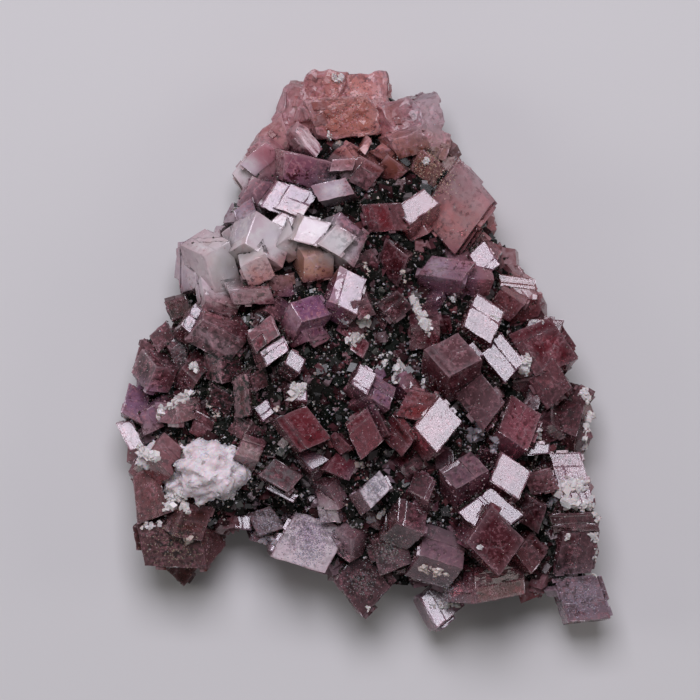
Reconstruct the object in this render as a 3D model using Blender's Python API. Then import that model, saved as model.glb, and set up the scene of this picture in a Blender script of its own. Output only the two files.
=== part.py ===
"""A calcite specimen: purple rhombohedral crystals grown over a dark matrix, with a milky calcite lump.

It lies on its sawn back. +Z points up out of the crystals, +Y towards the crown of the specimen
and +X to the right of someone who looks down on it. Lengths in the tables are millimetres and
angles are degrees; everything built from them is in metres. The origin is at the middle of the
sawn back.

Every crystal is a calcite rhombohedron. It is laid out on the front view by its front face: where
the middle of that face lies, how long its two edges are, which way the first edge runs, the corner
angle between them, and how far the face leans. The third edge follows from calcite's own angles.
"""

import math
import random
from collections import namedtuple

import bmesh
import bpy
from mathutils import Matrix, Vector, noise

MM = 0.001

# Driving dimensions in millimetres. The outline on the front view is about 89 by 102.
MATRIX_CENTRE = (-1.0, -4.0)
MATRIX_TOP = 25.0
MATRIX_RIM = 11.0
SEAM_GAP = 0.3
SMALLEST_GRAIN = 30.0
SMALLEST_PARENT = 6.4

# Calcite's rhombohedral faces meet at corners of 102 and 78 degrees.
OBTUSE = 102
ACUTE = 78
IN_PLANE_SHARE = math.cos(math.radians(OBTUSE)) / (1 + math.cos(math.radians(OBTUSE)))

# The lean of the faces that mirror a light hung over the crown end of the specimen.
GLINT = (13, 95)

Crystal = namedtuple("Crystal", "x y lift a b depth turn corner tilt toward side", defaults=(1,))


def glint(x, y, lift, a, b, depth, turn, corner, side=1):
    """A crystal whose front face mirrors the light."""
    return Crystal(x, y, lift, a, b, depth, turn, corner, *GLINT, side)


# Each row is x, y, lift of the front face over the matrix, edges a and b, depth, turn of edge a,
# corner from a clockwise to b, tilt and the direction that the face leans towards.
CROWN = [
    Crystal(-7.6, 45.9, 4.5, 7.4, 9.2, 9, -3, OBTUSE, 12, 150, -1),
    Crystal(0.8, 45.1, 4.0, 7.6, 9.6, 9, 12, OBTUSE, 14, 60, -1),
    Crystal(-3.0, 41.6, 5.5, 11.5, 7.6, 10, 6, ACUTE, 16, 270),
    Crystal(-13.0, 43.8, 3.0, 4.8, 8.2, 8, -9, OBTUSE, 24, 160),
    Crystal(-16.0, 37.6, 3.5, 6.4, 6.4, 8, 34, OBTUSE, 28, 170),
    Crystal(7.6, 42.0, 4.5, 6.8, 6.2, 8, 8, ACUTE, 14, 40),
    Crystal(12.3, 42.2, 3.0, 5.4, 6.6, 8, 22, OBTUSE, 18, 30),
    Crystal(13.3, 36.8, 3.0, 5.8, 5.0, 8, -12, OBTUSE, 24, 0),
    Crystal(8.6, 37.2, 4.5, 6.4, 5.2, 7, 18, ACUTE, 20, 300),
    Crystal(-20.9, 31.8, 4.0, 4.2, 4.4, 7, 50, OBTUSE, 26, 150),
    Crystal(-16.8, 33.2, 4.5, 7.2, 6.4, 9, -38, OBTUSE, 14, 200),
    Crystal(-9.2, 31.6, 5.0, 9.6, 5.6, 8, -14, ACUTE, 20, 265),
    glint(-9.7, 37.8, 6.5, 6.9, 2.3, 5, -50, ACUTE),
    glint(1.0, 36.6, 6.0, 3.2, 1.3, 4, 58, OBTUSE),
    Crystal(-3.4, 32.9, 5.5, 4.2, 2.4, 5, 2, OBTUSE, 32, 100),
    Crystal(-5.2, 28.4, 6.5, 6.4, 3.6, 6, 14, ACUTE, 30, 95, -1),
    Crystal(0.2, 31.4, 3.5, 5.6, 5.0, 7, -28, OBTUSE, 22, 330),
    Crystal(5.0, 32.0, 2.0, 4.6, 4.4, 6, 40, ACUTE, 26, 250),
    Crystal(11.6, 32.0, 2.6, 5.6, 5.6, 6, 62, OBTUSE, 22, 240),
]

PALE_CLUSTER = [
    glint(-14.2, 26.9, 7.4, 5.0, 5.6, 7, -21, OBTUSE),
    glint(-11.6, 26.4, 6.6, 5.0, 5.2, 7, -21, OBTUSE),
    Crystal(-16.5, 19.6, 8.6, 7.9, 6.3, 8, -32, ACUTE, 16, 40),
    Crystal(-8.8, 20.8, 8.8, 4.9, 4.8, 7, -14, OBTUSE, 12, 60),
    Crystal(-4.3, 19.2, 8.2, 4.2, 4.8, 7, -30, OBTUSE, 18, 50),
    Crystal(-2.6, 19.4, 5.4, 6.6, 6.6, 7, -38, ACUTE, 20, 30),
    Crystal(-24.8, 14.2, 7.6, 5.4, 8.2, 8, 30, OBTUSE, 20, 330),
    Crystal(-28.0, 15.0, 6.0, 4.4, 8.2, 5, -6, ACUTE, 24, 0),
    Crystal(-28.6, 14.6, 3.6, 4.8, 6.4, 6, 6, OBTUSE, 14, 340),
    Crystal(-22.6, 20.2, 5.6, 4.6, 4.6, 7, 34, OBTUSE, 24, 150),
    Crystal(-20.5, 23.6, 5.4, 4.0, 5.4, 7, 34, OBTUSE, 24, 150),
    Crystal(-26.4, 18.3, 5.0, 3.4, 3.0, 6, 0, OBTUSE, 12, 120, -1),
    Crystal(-18.6, 13.8, 8.2, 5.2, 4.6, 6, 32, OBTUSE, 30, 250),
    Crystal(-19.6, 9.4, 6.2, 7.4, 3.4, 7, 4, ACUTE, 30, 265),
    Crystal(-18.6, 27.6, 5.2, 6.0, 5.4, 8, 58, ACUTE, 20, 170),
    Crystal(-12.4, 22.6, 6.2, 5.4, 4.4, 7, -34, OBTUSE, 18, 80),
    Crystal(-7.6, 14.6, 5.0, 5.4, 5.2, 6, 12, OBTUSE, 30, 285),
    Crystal(-12.6, 18.0, 6.4, 4.2, 4.2, 6, -60, ACUTE, 34, 260),
]

LEFT_FLANK = [
    Crystal(-33.0, 7.4, 4.0, 4.2, 3.8, 6, 14, ACUTE, 22, 160),
    glint(-29.8, 5.2, 8.6, 3.1, 4.6, 6, -40, ACUTE),
    Crystal(-25.2, 7.2, 5.6, 6.2, 2.8, 6, -6, OBTUSE, 36, 270),
    Crystal(-26.2, 1.4, 5.8, 8.8, 5.4, 8, -28, OBTUSE, 26, 245),
    Crystal(-17.4, 2.6, 6.2, 5.2, 4.0, 6, 36, OBTUSE, 20, 130),
    glint(-15.4, -0.4, 6.8, 5.0, 2.8, 5, 36, OBTUSE),
    glint(-11.8, -2.2, 6.2, 3.2, 2.8, 5, -34, ACUTE),
    Crystal(-9.2, 7.2, 6.8, 5.6, 4.2, 7, 18, ACUTE, 24, 60),
    glint(-2.4, 10.4, 7.6, 5.2, 6.6, 7, -27, ACUTE),
    Crystal(-11.4, 2.4, 4.4, 4.2, 3.6, 6, 28, OBTUSE, 34, 230),
    Crystal(-8.2, 2.6, 3.6, 4.4, 3.6, 6, -50, OBTUSE, 30, 320),
    Crystal(-38.6, -2.2, 3.8, 6.2, 4.6, 7, -104, OBTUSE, 18, 150),
    Crystal(-36.0, 2.2, 3.6, 4.2, 3.8, 6, 40, OBTUSE, 24, 140),
    Crystal(-35.8, -5.6, 4.8, 4.4, 4.6, 6, -10, OBTUSE, 26, 320),
    Crystal(-40.7, -9.9, 5.0, 5.8, 4.4, 7, -106, OBTUSE, 24, 40),
    glint(-41.7, -15.6, 4.4, 5.6, 2.8, 6, -62, OBTUSE),
    Crystal(-34.6, -18.8, 7.0, 5.5, 5.0, 6, -44, ACUTE, 18, 80),
    Crystal(-37.8, -12.6, 3.6, 4.6, 4.2, 6, 24, OBTUSE, 24, 200),
    Crystal(-31.0, -11.0, 3.0, 3.6, 5.0, 6, -84, ACUTE, 26, 20),
    Crystal(-21.4, -8.4, 3.4, 7.4, 3.4, 6, -88, ACUTE, 30, 190),
    Crystal(-29.6, -3.0, 2.6, 4.6, 4.0, 6, 56, OBTUSE, 30, 90),
    Crystal(0.3, 7.0, 7.4, 3.4, 3.2, 6, -62, OBTUSE, 24, 320),
]

LOWER_LEFT_LOBE = [
    Crystal(-34.2, -35.4, 4.6, 11.2, 8.0, 10, -2, ACUTE, 12, 230, -1),
    Crystal(-37.4, -26.0, 5.4, 7.4, 8.6, 9, 20, OBTUSE, 20, 160),
    Crystal(-32.6, -40.0, 2.4, 4.4, 4.4, 7, -46, ACUTE, 16, 270),
    Crystal(-30.2, -31.0, 3.6, 5.4, 6.4, 8, -8, OBTUSE, 18, 340),
    Crystal(-39.4, -21.6, 3.4, 4.6, 5.0, 7, 62, OBTUSE, 28, 150),
]

MIDDLE = [
    Crystal(-10.4, -14.2, 5.0, 6.0, 7.6, 7, 24, ACUTE, 16, 300),
    glint(-11.3, -7.7, 5.0, 3.0, 3.0, 4, -6, ACUTE),
    Crystal(-14.4, -22.6, 5.4, 6.0, 4.4, 7, -30, OBTUSE, 22, 60),
    glint(-14.2, -25.6, 5.8, 5.4, 1.6, 5, -28, OBTUSE),
    glint(-21.7, -30.3, 3.8, 3.0, 4.6, 5, -5, ACUTE, -1),
    Crystal(-17.4, -31.0, 3.2, 5.0, 4.6, 6, 20, ACUTE, 22, 210),
    Crystal(-17.4, -33.6, 2.8, 4.0, 3.6, 6, -20, OBTUSE, 20, 300),
    glint(-9.2, -34.8, 4.6, 10.2, 9.4, 8, 163, OBTUSE, -1),
    Crystal(2.4, -25.0, 6.0, 5.2, 4.0, 6, 44, OBTUSE, 18, 100),
    Crystal(0.4, -15.0, 5.6, 5.6, 6.8, 7, 38, OBTUSE, 26, 200),
    Crystal(1.6, -13.6, 4.8, 5.2, 6.2, 7, 38, OBTUSE, 26, 200),
    glint(0.4, -5.4, 6.0, 3.4, 4.0, 5, -35, ACUTE),
    Crystal(3.4, -7.6, 5.2, 4.8, 4.2, 6, -30, ACUTE, 22, 50),
    Crystal(9.8, -10.0, 4.8, 5.4, 5.6, 7, -14, OBTUSE, 24, 120),
    glint(13.6, -13.4, 8.0, 6.1, 7.2, 7, -50, ACUTE),
    Crystal(6.6, -15.0, 4.0, 5.2, 6.0, 7, 52, OBTUSE, 24, 200),
    Crystal(16.2, -1.0, 6.6, 6.8, 6.6, 8, 28, ACUTE, 20, 90),
    Crystal(6.0, 7.6, 3.8, 4.6, 4.6, 6, 34, ACUTE, 26, 330),
    Crystal(4.2, 23.4, 4.2, 7.2, 5.2, 7, 4, ACUTE, 18, 260),
    Crystal(5.4, 15.4, 2.2, 6.0, 5.4, 7, 66, OBTUSE, 32, 200),
    Crystal(11.4, 2.0, 3.4, 5.4, 4.4, 7, 10, OBTUSE, 30, 250),
    Crystal(-3.4, -21.0, 2.4, 4.6, 4.0, 6, -22, OBTUSE, 26, 40),
    Crystal(10.8, -24.4, 3.6, 4.6, 4.0, 6, -30, ACUTE, 28, 130),
    Crystal(-19.6, -17.6, 2.8, 4.2, 4.6, 6, 64, ACUTE, 30, 20),
]

RIGHT_FLANK = [
    glint(9.8, 25.4, 6.4, 6.6, 3.8, 6, 35, ACUTE),
    Crystal(17.1, 25.4, 8.2, 9.6, 12.6, 4, -49, ACUTE, 18, 205),
    Crystal(17.6, 24.8, 6.8, 9.6, 12.6, 6, -49, ACUTE, 18, 205),
    Crystal(22.2, 17.2, 4.4, 5.4, 5.0, 7, -40, ACUTE, 22, 20, -1),
    glint(22.0, 16.0, 6.6, 5.2, 3.8, 6, -56, ACUTE),
    Crystal(15.2, 14.4, 6.2, 8.0, 5.4, 6, -14, OBTUSE, 46, 95),
    Crystal(28.2, 11.2, 5.4, 6.6, 4.0, 7, -8, ACUTE, 20, 80),
    Crystal(19.6, 11.2, 4.4, 7.4, 3.6, 7, -4, OBTUSE, 34, 275),
    Crystal(29.4, 7.0, 3.8, 5.8, 4.4, 7, 16, OBTUSE, 26, 300),
    glint(21.8, 5.4, 7.4, 6.0, 6.4, 7, -34, ACUTE),
    glint(25.2, -1.6, 7.2, 5.2, 6.8, 7, 50, OBTUSE),
    Crystal(32.6, 0.4, 6.2, 8.6, 9.0, 8, 22, ACUTE, 14, 20),
    Crystal(35.0, 1.8, 4.6, 5.0, 5.2, 8, 22, ACUTE, 14, 20),
    Crystal(34.0, -6.4, 4.8, 6.4, 6.0, 8, -58, ACUTE, 18, 300),
    Crystal(21.0, -8.8, 5.6, 8.6, 6.4, 8, -50, ACUTE, 22, 150),
    Crystal(28.2, -13.2, 6.2, 6.4, 7.4, 8, -34, ACUTE, 22, 60),
    Crystal(18.2, -21.6, 5.2, 6.6, 4.8, 7, 30, ACUTE, 20, 110),
    glint(26.5, -22.6, 7.2, 6.2, 5.6, 7, -35, ACUTE),
    glint(23.0, -29.4, 7.6, 7.6, 7.4, 7, -41, OBTUSE),
    glint(31.3, -18.0, 5.0, 4.8, 1.9, 5, 5, OBTUSE),
    Crystal(36.8, -12.0, 3.2, 6.0, 6.0, 8, -24, ACUTE, 28, 120),
    Crystal(37.8, -23.2, 5.4, 5.6, 9.6, 8, 2, ACUTE, 18, 80),
    Crystal(32.2, -23.8, 4.2, 5.2, 4.6, 7, 12, ACUTE, 24, 300),
    Crystal(30.4, -29.4, 4.0, 5.2, 4.8, 7, 70, OBTUSE, 24, 210),
    Crystal(38.2, -31.2, 4.2, 8.2, 3.8, 7, 4, ACUTE, 26, 260),
    Crystal(38.8, -36.8, 3.8, 6.6, 7.8, 8, 2, OBTUSE, 20, 300),
    Crystal(25.8, 7.8, 3.4, 5.2, 4.4, 7, -30, OBTUSE, 26, 200),
    Crystal(32.8, 3.6, 4.4, 6.4, 4.0, 7, -4, OBTUSE, 20, 80),
    Crystal(39.8, -8.6, 3.4, 3.0, 3.4, 6, -30, OBTUSE, 20, 40),
    Crystal(40.4, -11.2, 3.4, 3.2, 3.0, 6, -70, OBTUSE, 24, 20),
    Crystal(39.6, -14.6, 3.6, 3.0, 3.6, 6, 12, ACUTE, 18, 60),
    Crystal(41.4, -31.2, 3.4, 3.2, 3.4, 6, -24, ACUTE, 24, 10),
    Crystal(41.2, -35.2, 3.0, 2.8, 3.4, 6, 4, ACUTE, 20, 340),
]

LOWER_EDGE = [
    Crystal(39.9, -45.0, 3.4, 7.6, 8.4, 6, 6, ACUTE, 10, 250),
    Crystal(24.8, -41.6, 6.8, 10.0, 6.6, 9, 12, OBTUSE, 28, 30),
    Crystal(23.8, -34.2, 11.8, 8.4, 8.0, 11, -46, ACUTE, 10, 250),
    Crystal(9.0, -29.8, 5.0, 5.4, 4.8, 7, -20, ACUTE, 20, 60),
    Crystal(14.6, -35.2, 5.2, 8.0, 6.2, 8, -18, ACUTE, 20, 80),
    Crystal(5.4, -36.4, 3.8, 6.4, 6.8, 8, 24, OBTUSE, 20, 250),
    Crystal(0.2, -42.2, 4.4, 7.6, 8.4, 7, 48, OBTUSE, 12, 200),
    Crystal(1.0, -41.2, 3.2, 8.4, 8.8, 7, 48, OBTUSE, 12, 200),
    glint(14.7, -45.7, 2.6, 6.4, 6.6, 4.5, -62, ACUTE),
    Crystal(30.6, -36.6, 2.8, 5.0, 5.0, 7, -50, ACUTE, 26, 340),
    Crystal(12.0, -40.6, 2.2, 5.2, 3.8, 6, -14, OBTUSE, 30, 280),
]

BIG_CRYSTALS = CROWN + PALE_CLUSTER + LEFT_FLANK + LOWER_LEFT_LOBE + MIDDLE + RIGHT_FLANK + LOWER_EDGE

# The matrix seen from the front, anticlockwise from the crown. It stays inside the crystals.
MATRIX_OUTLINE = [
    (-2, 45), (-9, 44), (-14, 37), (-18, 29), (-24, 22), (-29, 13), (-33, 3), (-38, -8), (-39, -17),
    (-38, -27), (-36, -36), (-31, -36), (-27, -29), (-20, -29), (-14, -33), (-8, -37), (-1, -41),
    (7, -41), (14, -42), (22, -43), (30, -42), (38, -43), (40, -32), (38, -20), (37, -8), (33, 3),
    (28, 12), (22, 22), (17, 32), (12, 41), (5, 44),
]
RINGS = 8
LAST_RING_SHARE = 0.95
FLANK = ((1.0, 0.94), (1.03, 0.68), (1.0, 0.42), (0.98, 0.2), (0.95, 0.0))
ROCK_GRAIN_MM = 9.0
ROCK_ROUGHNESS_MM = 2.2
FLANK_GRAIN_MM = 5.0
FLANK_ROUGHNESS_MM = 1.9

# The milky mass at the lower left, as lumpy balls: middle, half sizes and lift over the matrix.
MILKY_BALLS = [
    ((-27.0, -21.8), (6.8, 5.5, 6.0), 1.4),
    ((-32.8, -24.2), (3.0, 3.6, 4.2), 1.8),
    ((-36.5, -19.6), (4.4, 2.8, 4.8), 2.2),
]

# Crystals that line the flanks below the ones seen from the front: how many go round, and how
# high they sit.
FLANK_ROWS = ((32, 8.0, 12.5), (28, 2.5, 6.5))
FLANK_SEED = 12

# Smaller crystals between the big ones: the step of the grid that they are scattered on.
FILL_STEP = 5.2
FILL_SEED = 3


def clear_scene():
    for obj in list(bpy.data.objects):
        bpy.data.objects.remove(obj, do_unlink=True)


def finish_of(name, colour, roughness, transmission):
    material = bpy.data.materials.new(name)
    material.use_nodes = True
    shader = material.node_tree.nodes["Principled BSDF"]
    shader.inputs["Base Color"].default_value = (*colour, 1)
    shader.inputs["Roughness"].default_value = roughness
    shader.inputs["Metallic"].default_value = 0
    shader.inputs["Transmission Weight"].default_value = transmission
    shader.inputs["IOR"].default_value = 1.6
    return material


def mesh_object(name, points, faces, material=None):
    mesh = bpy.data.meshes.new(name)
    mesh.from_pydata([tuple(p) for p in points], [], faces)
    obj = bpy.data.objects.new(name, mesh)
    bpy.context.scene.collection.objects.link(obj)
    if material:
        mesh.materials.append(material)
    return obj


def as_cutter(obj):
    obj.hide_render = True
    obj.display_type = "WIRE"
    return obj


def outline_radius(angle):
    """How far the matrix reaches from its centre in a direction on the front view, in millimetres."""
    ray = Vector((math.cos(angle), math.sin(angle)))
    reach = 0.0
    centre = Vector(MATRIX_CENTRE)
    for start, end in zip(MATRIX_OUTLINE, MATRIX_OUTLINE[1:] + MATRIX_OUTLINE[:1]):
        p = Vector(start) - centre
        edge = Vector(end) - Vector(start)
        across = ray.cross(edge)
        if abs(across) < 1e-9:
            continue
        along_ray = p.cross(edge) / across
        along_edge = p.cross(ray) / across
        if along_ray > 0 and -1e-9 <= along_edge <= 1 + 1e-9:
            reach = max(reach, along_ray)
    return reach


def matrix_height(x, y):
    """Height of the smoothed matrix surface at a point of the front view, in millimetres."""
    from_centre = Vector((x, y)) - Vector(MATRIX_CENTRE)
    share = from_centre.length / outline_radius(math.atan2(from_centre.y, from_centre.x))
    share = min(share, 1.25)
    return MATRIX_TOP - (MATRIX_TOP - MATRIX_RIM) * share**2.2


def rock_bumps(x, y):
    point = Vector((x, y, 3.7)) / ROCK_GRAIN_MM
    return noise.noise(point) + 0.5 * noise.noise(point * 2.3)


def ring_faces(ring):
    """Triangles between a ring of six points for each step outwards and the ring inside it."""
    outer = 1 + 3 * ring * (ring - 1)
    inner = outer - 6 * (ring - 1)
    faces = []
    for sector in range(6):
        for step in range(ring):
            k = sector * ring + step
            j = sector * (ring - 1) + step
            near = 0 if ring == 1 else inner + j % (6 * (ring - 1))
            faces.append((outer + k, outer + (k + 1) % (6 * ring), near))
            if step < ring - 1:
                faces.append((near, outer + (k + 1) % (6 * ring), inner + (j + 1) % (6 * (ring - 1))))
    return faces


def grow(mesh, gap):
    """Moves every face of a closed mesh outwards by the gap."""
    shape = bmesh.new()
    shape.from_mesh(mesh)
    bmesh.ops.recalc_face_normals(shape, faces=shape.faces)
    shape.normal_update()
    moved = [vert.co + vert.normal * vert.calc_shell_factor() * gap * MM for vert in shape.verts]
    for vert, at in zip(shape.verts, moved):
        vert.co = at
    shape.to_mesh(mesh)
    shape.free()


def matrix_solid(name, gap=0.0, material=None):
    """The matrix, or with a gap, the room that the crystals leave for it."""
    points = [(*MATRIX_CENTRE, MATRIX_TOP)]
    faces = []
    for ring in range(1, RINGS + 1):
        faces += ring_faces(ring)
        for k in range(6 * ring):
            angle = 2 * math.pi * k / (6 * ring)
            reach = outline_radius(angle) * LAST_RING_SHARE * ring / RINGS
            x = MATRIX_CENTRE[0] + reach * math.cos(angle)
            y = MATRIX_CENTRE[1] + reach * math.sin(angle)
            z = matrix_height(x, y) + ROCK_ROUGHNESS_MM * rock_bumps(x, y)
            points.append((x, y, z))
    around = 6 * RINGS
    for spread, height in FLANK:
        first = len(points) - around
        for k in range(around):
            angle = 2 * math.pi * k / around
            reach = outline_radius(angle) * spread
            x = MATRIX_CENTRE[0] + reach * math.cos(angle)
            y = MATRIX_CENTRE[1] + reach * math.sin(angle)
            reach += FLANK_ROUGHNESS_MM * noise.noise(Vector((x, y, height * 40)) / FLANK_GRAIN_MM)
            x = MATRIX_CENTRE[0] + reach * math.cos(angle)
            y = MATRIX_CENTRE[1] + reach * math.sin(angle)
            points.append((x, y, MATRIX_RIM * height))
            after = (k + 1) % around
            faces.append((first + k, first + around + k, first + around + after))
            faces.append((first + k, first + around + after, first + after))
    faces.append(tuple(len(points) - around + k for k in reversed(range(around))))
    obj = mesh_object(name, [Vector(p) * MM for p in points], faces, material)
    if gap:
        grow(obj.data, gap)
    return obj


def crystal_axes(crystal):
    """Unit vectors along the crystal's three edges. The third runs into the specimen."""
    turn = math.radians(crystal.turn)
    second = math.radians(crystal.turn - crystal.corner)
    a = Vector((math.cos(turn), math.sin(turn), 0))
    b = Vector((math.cos(second), math.sin(second), 0))
    alike = 1 if crystal.corner == OBTUSE else -1
    across = (a + alike * b) * IN_PLANE_SHARE * crystal.side
    c = across - Vector((0, 0, math.sqrt(1 - across.length_squared)))
    toward = math.radians(crystal.toward)
    axis = Vector((-math.sin(toward), math.cos(toward), 0))
    lean = Matrix.Rotation(math.radians(crystal.tilt), 3, axis)
    return lean @ a, lean @ b, lean @ c


def crystal_corners(crystal, grow=0.0):
    """The eight corners in millimetres, the front face's four first."""
    a, b, c = crystal_axes(crystal)
    height = matrix_height(crystal.x, crystal.y) + crystal.lift
    middle = Vector((crystal.x, crystal.y, height)) - c * grow
    half_a = a * (crystal.a / 2 + grow)
    half_b = b * (crystal.b / 2 + grow)
    deep = c * (crystal.depth + 2 * grow)
    front = [middle - half_a - half_b, middle + half_a - half_b, middle + half_a + half_b, middle - half_a + half_b]
    return front + [corner + deep for corner in front]


def rhombohedron(name, crystal, grow=0.0):
    points = [p * MM for p in crystal_corners(crystal, grow)]
    faces = [(0, 1, 2, 3), (7, 6, 5, 4), (0, 4, 5, 1), (1, 5, 6, 2), (2, 6, 7, 3), (3, 7, 4, 0)]
    obj = mesh_object(name, points, faces)
    shape = bmesh.new()
    shape.from_mesh(obj.data)
    bmesh.ops.recalc_face_normals(shape, faces=shape.faces)
    shape.to_mesh(obj.data)
    shape.free()
    return obj


def parallel_growths(crystals):
    """Smaller crystals in step with some of the big ones, which notch their edges."""
    chance = random.Random(5)
    growths = []
    for crystal in crystals:
        if min(crystal.a, crystal.b) < SMALLEST_PARENT:
            continue
        a, b, c = crystal_axes(crystal)
        shrink = chance.uniform(0.38, 0.6)
        side_a = chance.choice((-1, 1))
        side_b = chance.choice((-1, 1))
        reach = chance.uniform(0.5, 1.1)
        shift = a * side_a * (crystal.a * (1 - shrink) / 2 + reach)
        shift += b * side_b * (crystal.b * (1 - shrink) / 2 - chance.uniform(0.4, 1.2))
        sink = chance.uniform(0.7, 2.0)
        growths.append(
            crystal._replace(
                x=crystal.x + shift.x,
                y=crystal.y + shift.y,
                lift=crystal.lift + shift.z - sink + height_drop(crystal, shift),
                a=crystal.a * shrink,
                b=crystal.b * shrink,
                depth=crystal.depth * 0.8,
            )
        )
    return growths


def height_drop(crystal, shift):
    """Lift is counted from the matrix, so a shifted crystal takes back the matrix's own slope."""
    return matrix_height(crystal.x, crystal.y) - matrix_height(crystal.x + shift.x, crystal.y + shift.y)


def flank_crystals():
    """Crystals all round the flanks, under the ones that the front view shows."""
    chance = random.Random(FLANK_SEED)
    made = []
    for count, low, high in FLANK_ROWS:
        for k in range(count):
            angle = 2 * math.pi * (k + chance.uniform(-0.3, 0.3)) / count
            reach = outline_radius(angle) + chance.uniform(-2.2, 0.0)
            x = MATRIX_CENTRE[0] + reach * math.cos(angle)
            y = MATRIX_CENTRE[1] + reach * math.sin(angle)
            size = chance.uniform(4.2, 6.6)
            lift = chance.uniform(low, high) - matrix_height(x, y)
            lean = chance.uniform(48, 80)
            toward = math.degrees(angle) + chance.uniform(-30, 30)
            turn = chance.uniform(0, 360)
            corner = chance.choice((OBTUSE, ACUTE))
            other = size * chance.uniform(0.8, 1.15)
            made.append(Crystal(x, y, lift, size, other, size, turn, corner, lean, toward))
    return made


def fill_crystals(crystals):
    """Small crystals that crowd the gaps between the big ones."""
    chance = random.Random(FILL_SEED)
    made = []
    for row in range(-9, 10):
        for column in range(-9, 10):
            x = (column + 0.5 * (row % 2) + chance.uniform(-0.35, 0.35)) * FILL_STEP
            y = (row + chance.uniform(-0.35, 0.35)) * FILL_STEP
            size = chance.uniform(3.0, 4.8)
            turn = chance.uniform(0, 360)
            lean = chance.uniform(12, 46)
            toward = chance.uniform(0, 360)
            lift = chance.uniform(0.6, 2.4)
            corner = chance.choice((OBTUSE, ACUTE))
            spoke = Vector((x, y)) - Vector(MATRIX_CENTRE)
            if spoke.length > 0.94 * outline_radius(math.atan2(spoke.y, spoke.x)):
                continue
            if (Vector((x, y)) - Vector(MILKY_BALLS[0][0])).length < 8:
                continue
            room = min(math.hypot(x - c.x, y - c.y) - (c.a + c.b) / 4 for c in crystals)
            if room < 0.9:
                continue
            made.append(Crystal(x, y, lift, size, size * 0.9, size * 1.2, turn, corner, lean, toward))
    return made


def milky_ball(name, ball, gap=0.0, material=None):
    """A lumpy ball, squashed to one part of the milky mass."""
    middle, half, lift = ball
    mesh = bpy.data.meshes.new(name)
    shape = bmesh.new()
    bmesh.ops.create_icosphere(shape, subdivisions=3 if max(half) > 5 else 2, radius=1)
    floor = matrix_height(*middle) + lift
    for vert in shape.verts:
        way = vert.co.normalized()
        lump = 1 + 0.16 * noise.noise(way * 2.1) + 0.1 * noise.noise(way * 5.3)
        at = Vector((way.x * half[0], way.y * half[1], way.z * half[2])) * lump
        vert.co = (at + Vector((*middle, floor))) * MM
    shape.to_mesh(mesh)
    shape.free()
    if gap:
        grow(mesh, gap)
    obj = bpy.data.objects.new(name, mesh)
    bpy.context.scene.collection.objects.link(obj)
    if material:
        mesh.materials.append(material)
    return obj


def boolean(obj, operation, operand):
    modifier = obj.modifiers.new(operation.title(), "BOOLEAN")
    modifier.operation = operation
    modifier.solver = "EXACT"
    if isinstance(operand, bpy.types.Collection):
        modifier.operand_type = "COLLECTION"
        modifier.collection = operand
    else:
        modifier.object = operand
    return modifier


def group_of(name, objects):
    """A collection of cutters, kept out of the render."""
    group = bpy.data.collections.new(name)
    bpy.context.scene.collection.children.link(group)
    group.hide_render = True
    for obj in objects:
        as_cutter(obj)
        bpy.context.scene.collection.objects.unlink(obj)
        group.objects.link(obj)
    return group


def saw_table():
    """A block whose top is the plane of the sawn back."""
    reach, deep = 80, 40
    bottom = [(-reach, -reach), (reach, -reach), (reach, reach), (-reach, reach)]
    points = [Vector((x, y, z)) * MM for z in (-deep, 0) for x, y in bottom]
    faces = [(3, 2, 1, 0), (4, 5, 6, 7), (0, 1, 5, 4), (1, 2, 6, 5), (2, 3, 7, 6), (3, 0, 4, 7)]
    return as_cutter(mesh_object("saw_table", points, faces))


def evaluated_shape(obj):
    """The object's mesh with its modifiers applied, as a bmesh."""
    bpy.context.view_layer.update()
    graph = bpy.context.evaluated_depsgraph_get()
    evaluated = obj.evaluated_get(graph)
    shape = bmesh.new()
    shape.from_mesh(evaluated.to_mesh())
    evaluated.to_mesh_clear()
    return shape


def islands(shape):
    """Lists of faces that hang together, the largest body first, without the crumbs."""
    left = set(shape.faces)
    found = []
    while left:
        todo = [left.pop()]
        island = set(todo)
        while todo:
            face = todo.pop()
            for edge in face.edges:
                for other in edge.link_faces:
                    if other in left:
                        left.discard(other)
                        island.add(other)
                        todo.append(other)
        found.append(island)
    sized = []
    for island in found:
        volume = 0.0
        for face in island:
            first = face.verts[0].co
            for one, two in zip(face.verts[1:-1], face.verts[2:]):
                volume += first.dot(one.co.cross(two.co)) / 6
        sized.append((volume / MM**3, island))
    sized.sort(key=lambda pair: -pair[0])
    return [island for volume, island in sized if volume > SMALLEST_GRAIN]


def separate_bodies(obj, first_name, other_name, material):
    """Turns the object into one object for each body that it holds."""
    shape = evaluated_shape(obj)
    for number, island in enumerate(islands(shape)):
        name = first_name if number == 0 else f"{other_name}_{number}"
        verts = []
        index = {}
        faces = []
        for face in island:
            for vert in face.verts:
                if vert not in index:
                    index[vert] = len(verts)
                    verts.append(vert.co.copy())
            faces.append([index[vert] for vert in face.verts])
        mesh_object(name, verts, faces, material)
    shape.free()
    bpy.data.objects.remove(obj)


def centre_on_origin():
    """Moves everything sideways until the middle of the specimen's box is over the origin."""
    bpy.context.view_layer.update()
    graph = bpy.context.evaluated_depsgraph_get()
    low = Vector((math.inf, math.inf))
    high = Vector((-math.inf, -math.inf))
    for obj in bpy.context.scene.objects:
        if obj.hide_render:
            continue
        for corner in obj.evaluated_get(graph).bound_box:
            low = Vector(map(min, low, corner[:2]))
            high = Vector(map(max, high, corner[:2]))
    middle = (low + high) / 2
    for obj in bpy.data.objects:
        obj.location = (-middle.x, -middle.y, 0)


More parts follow.
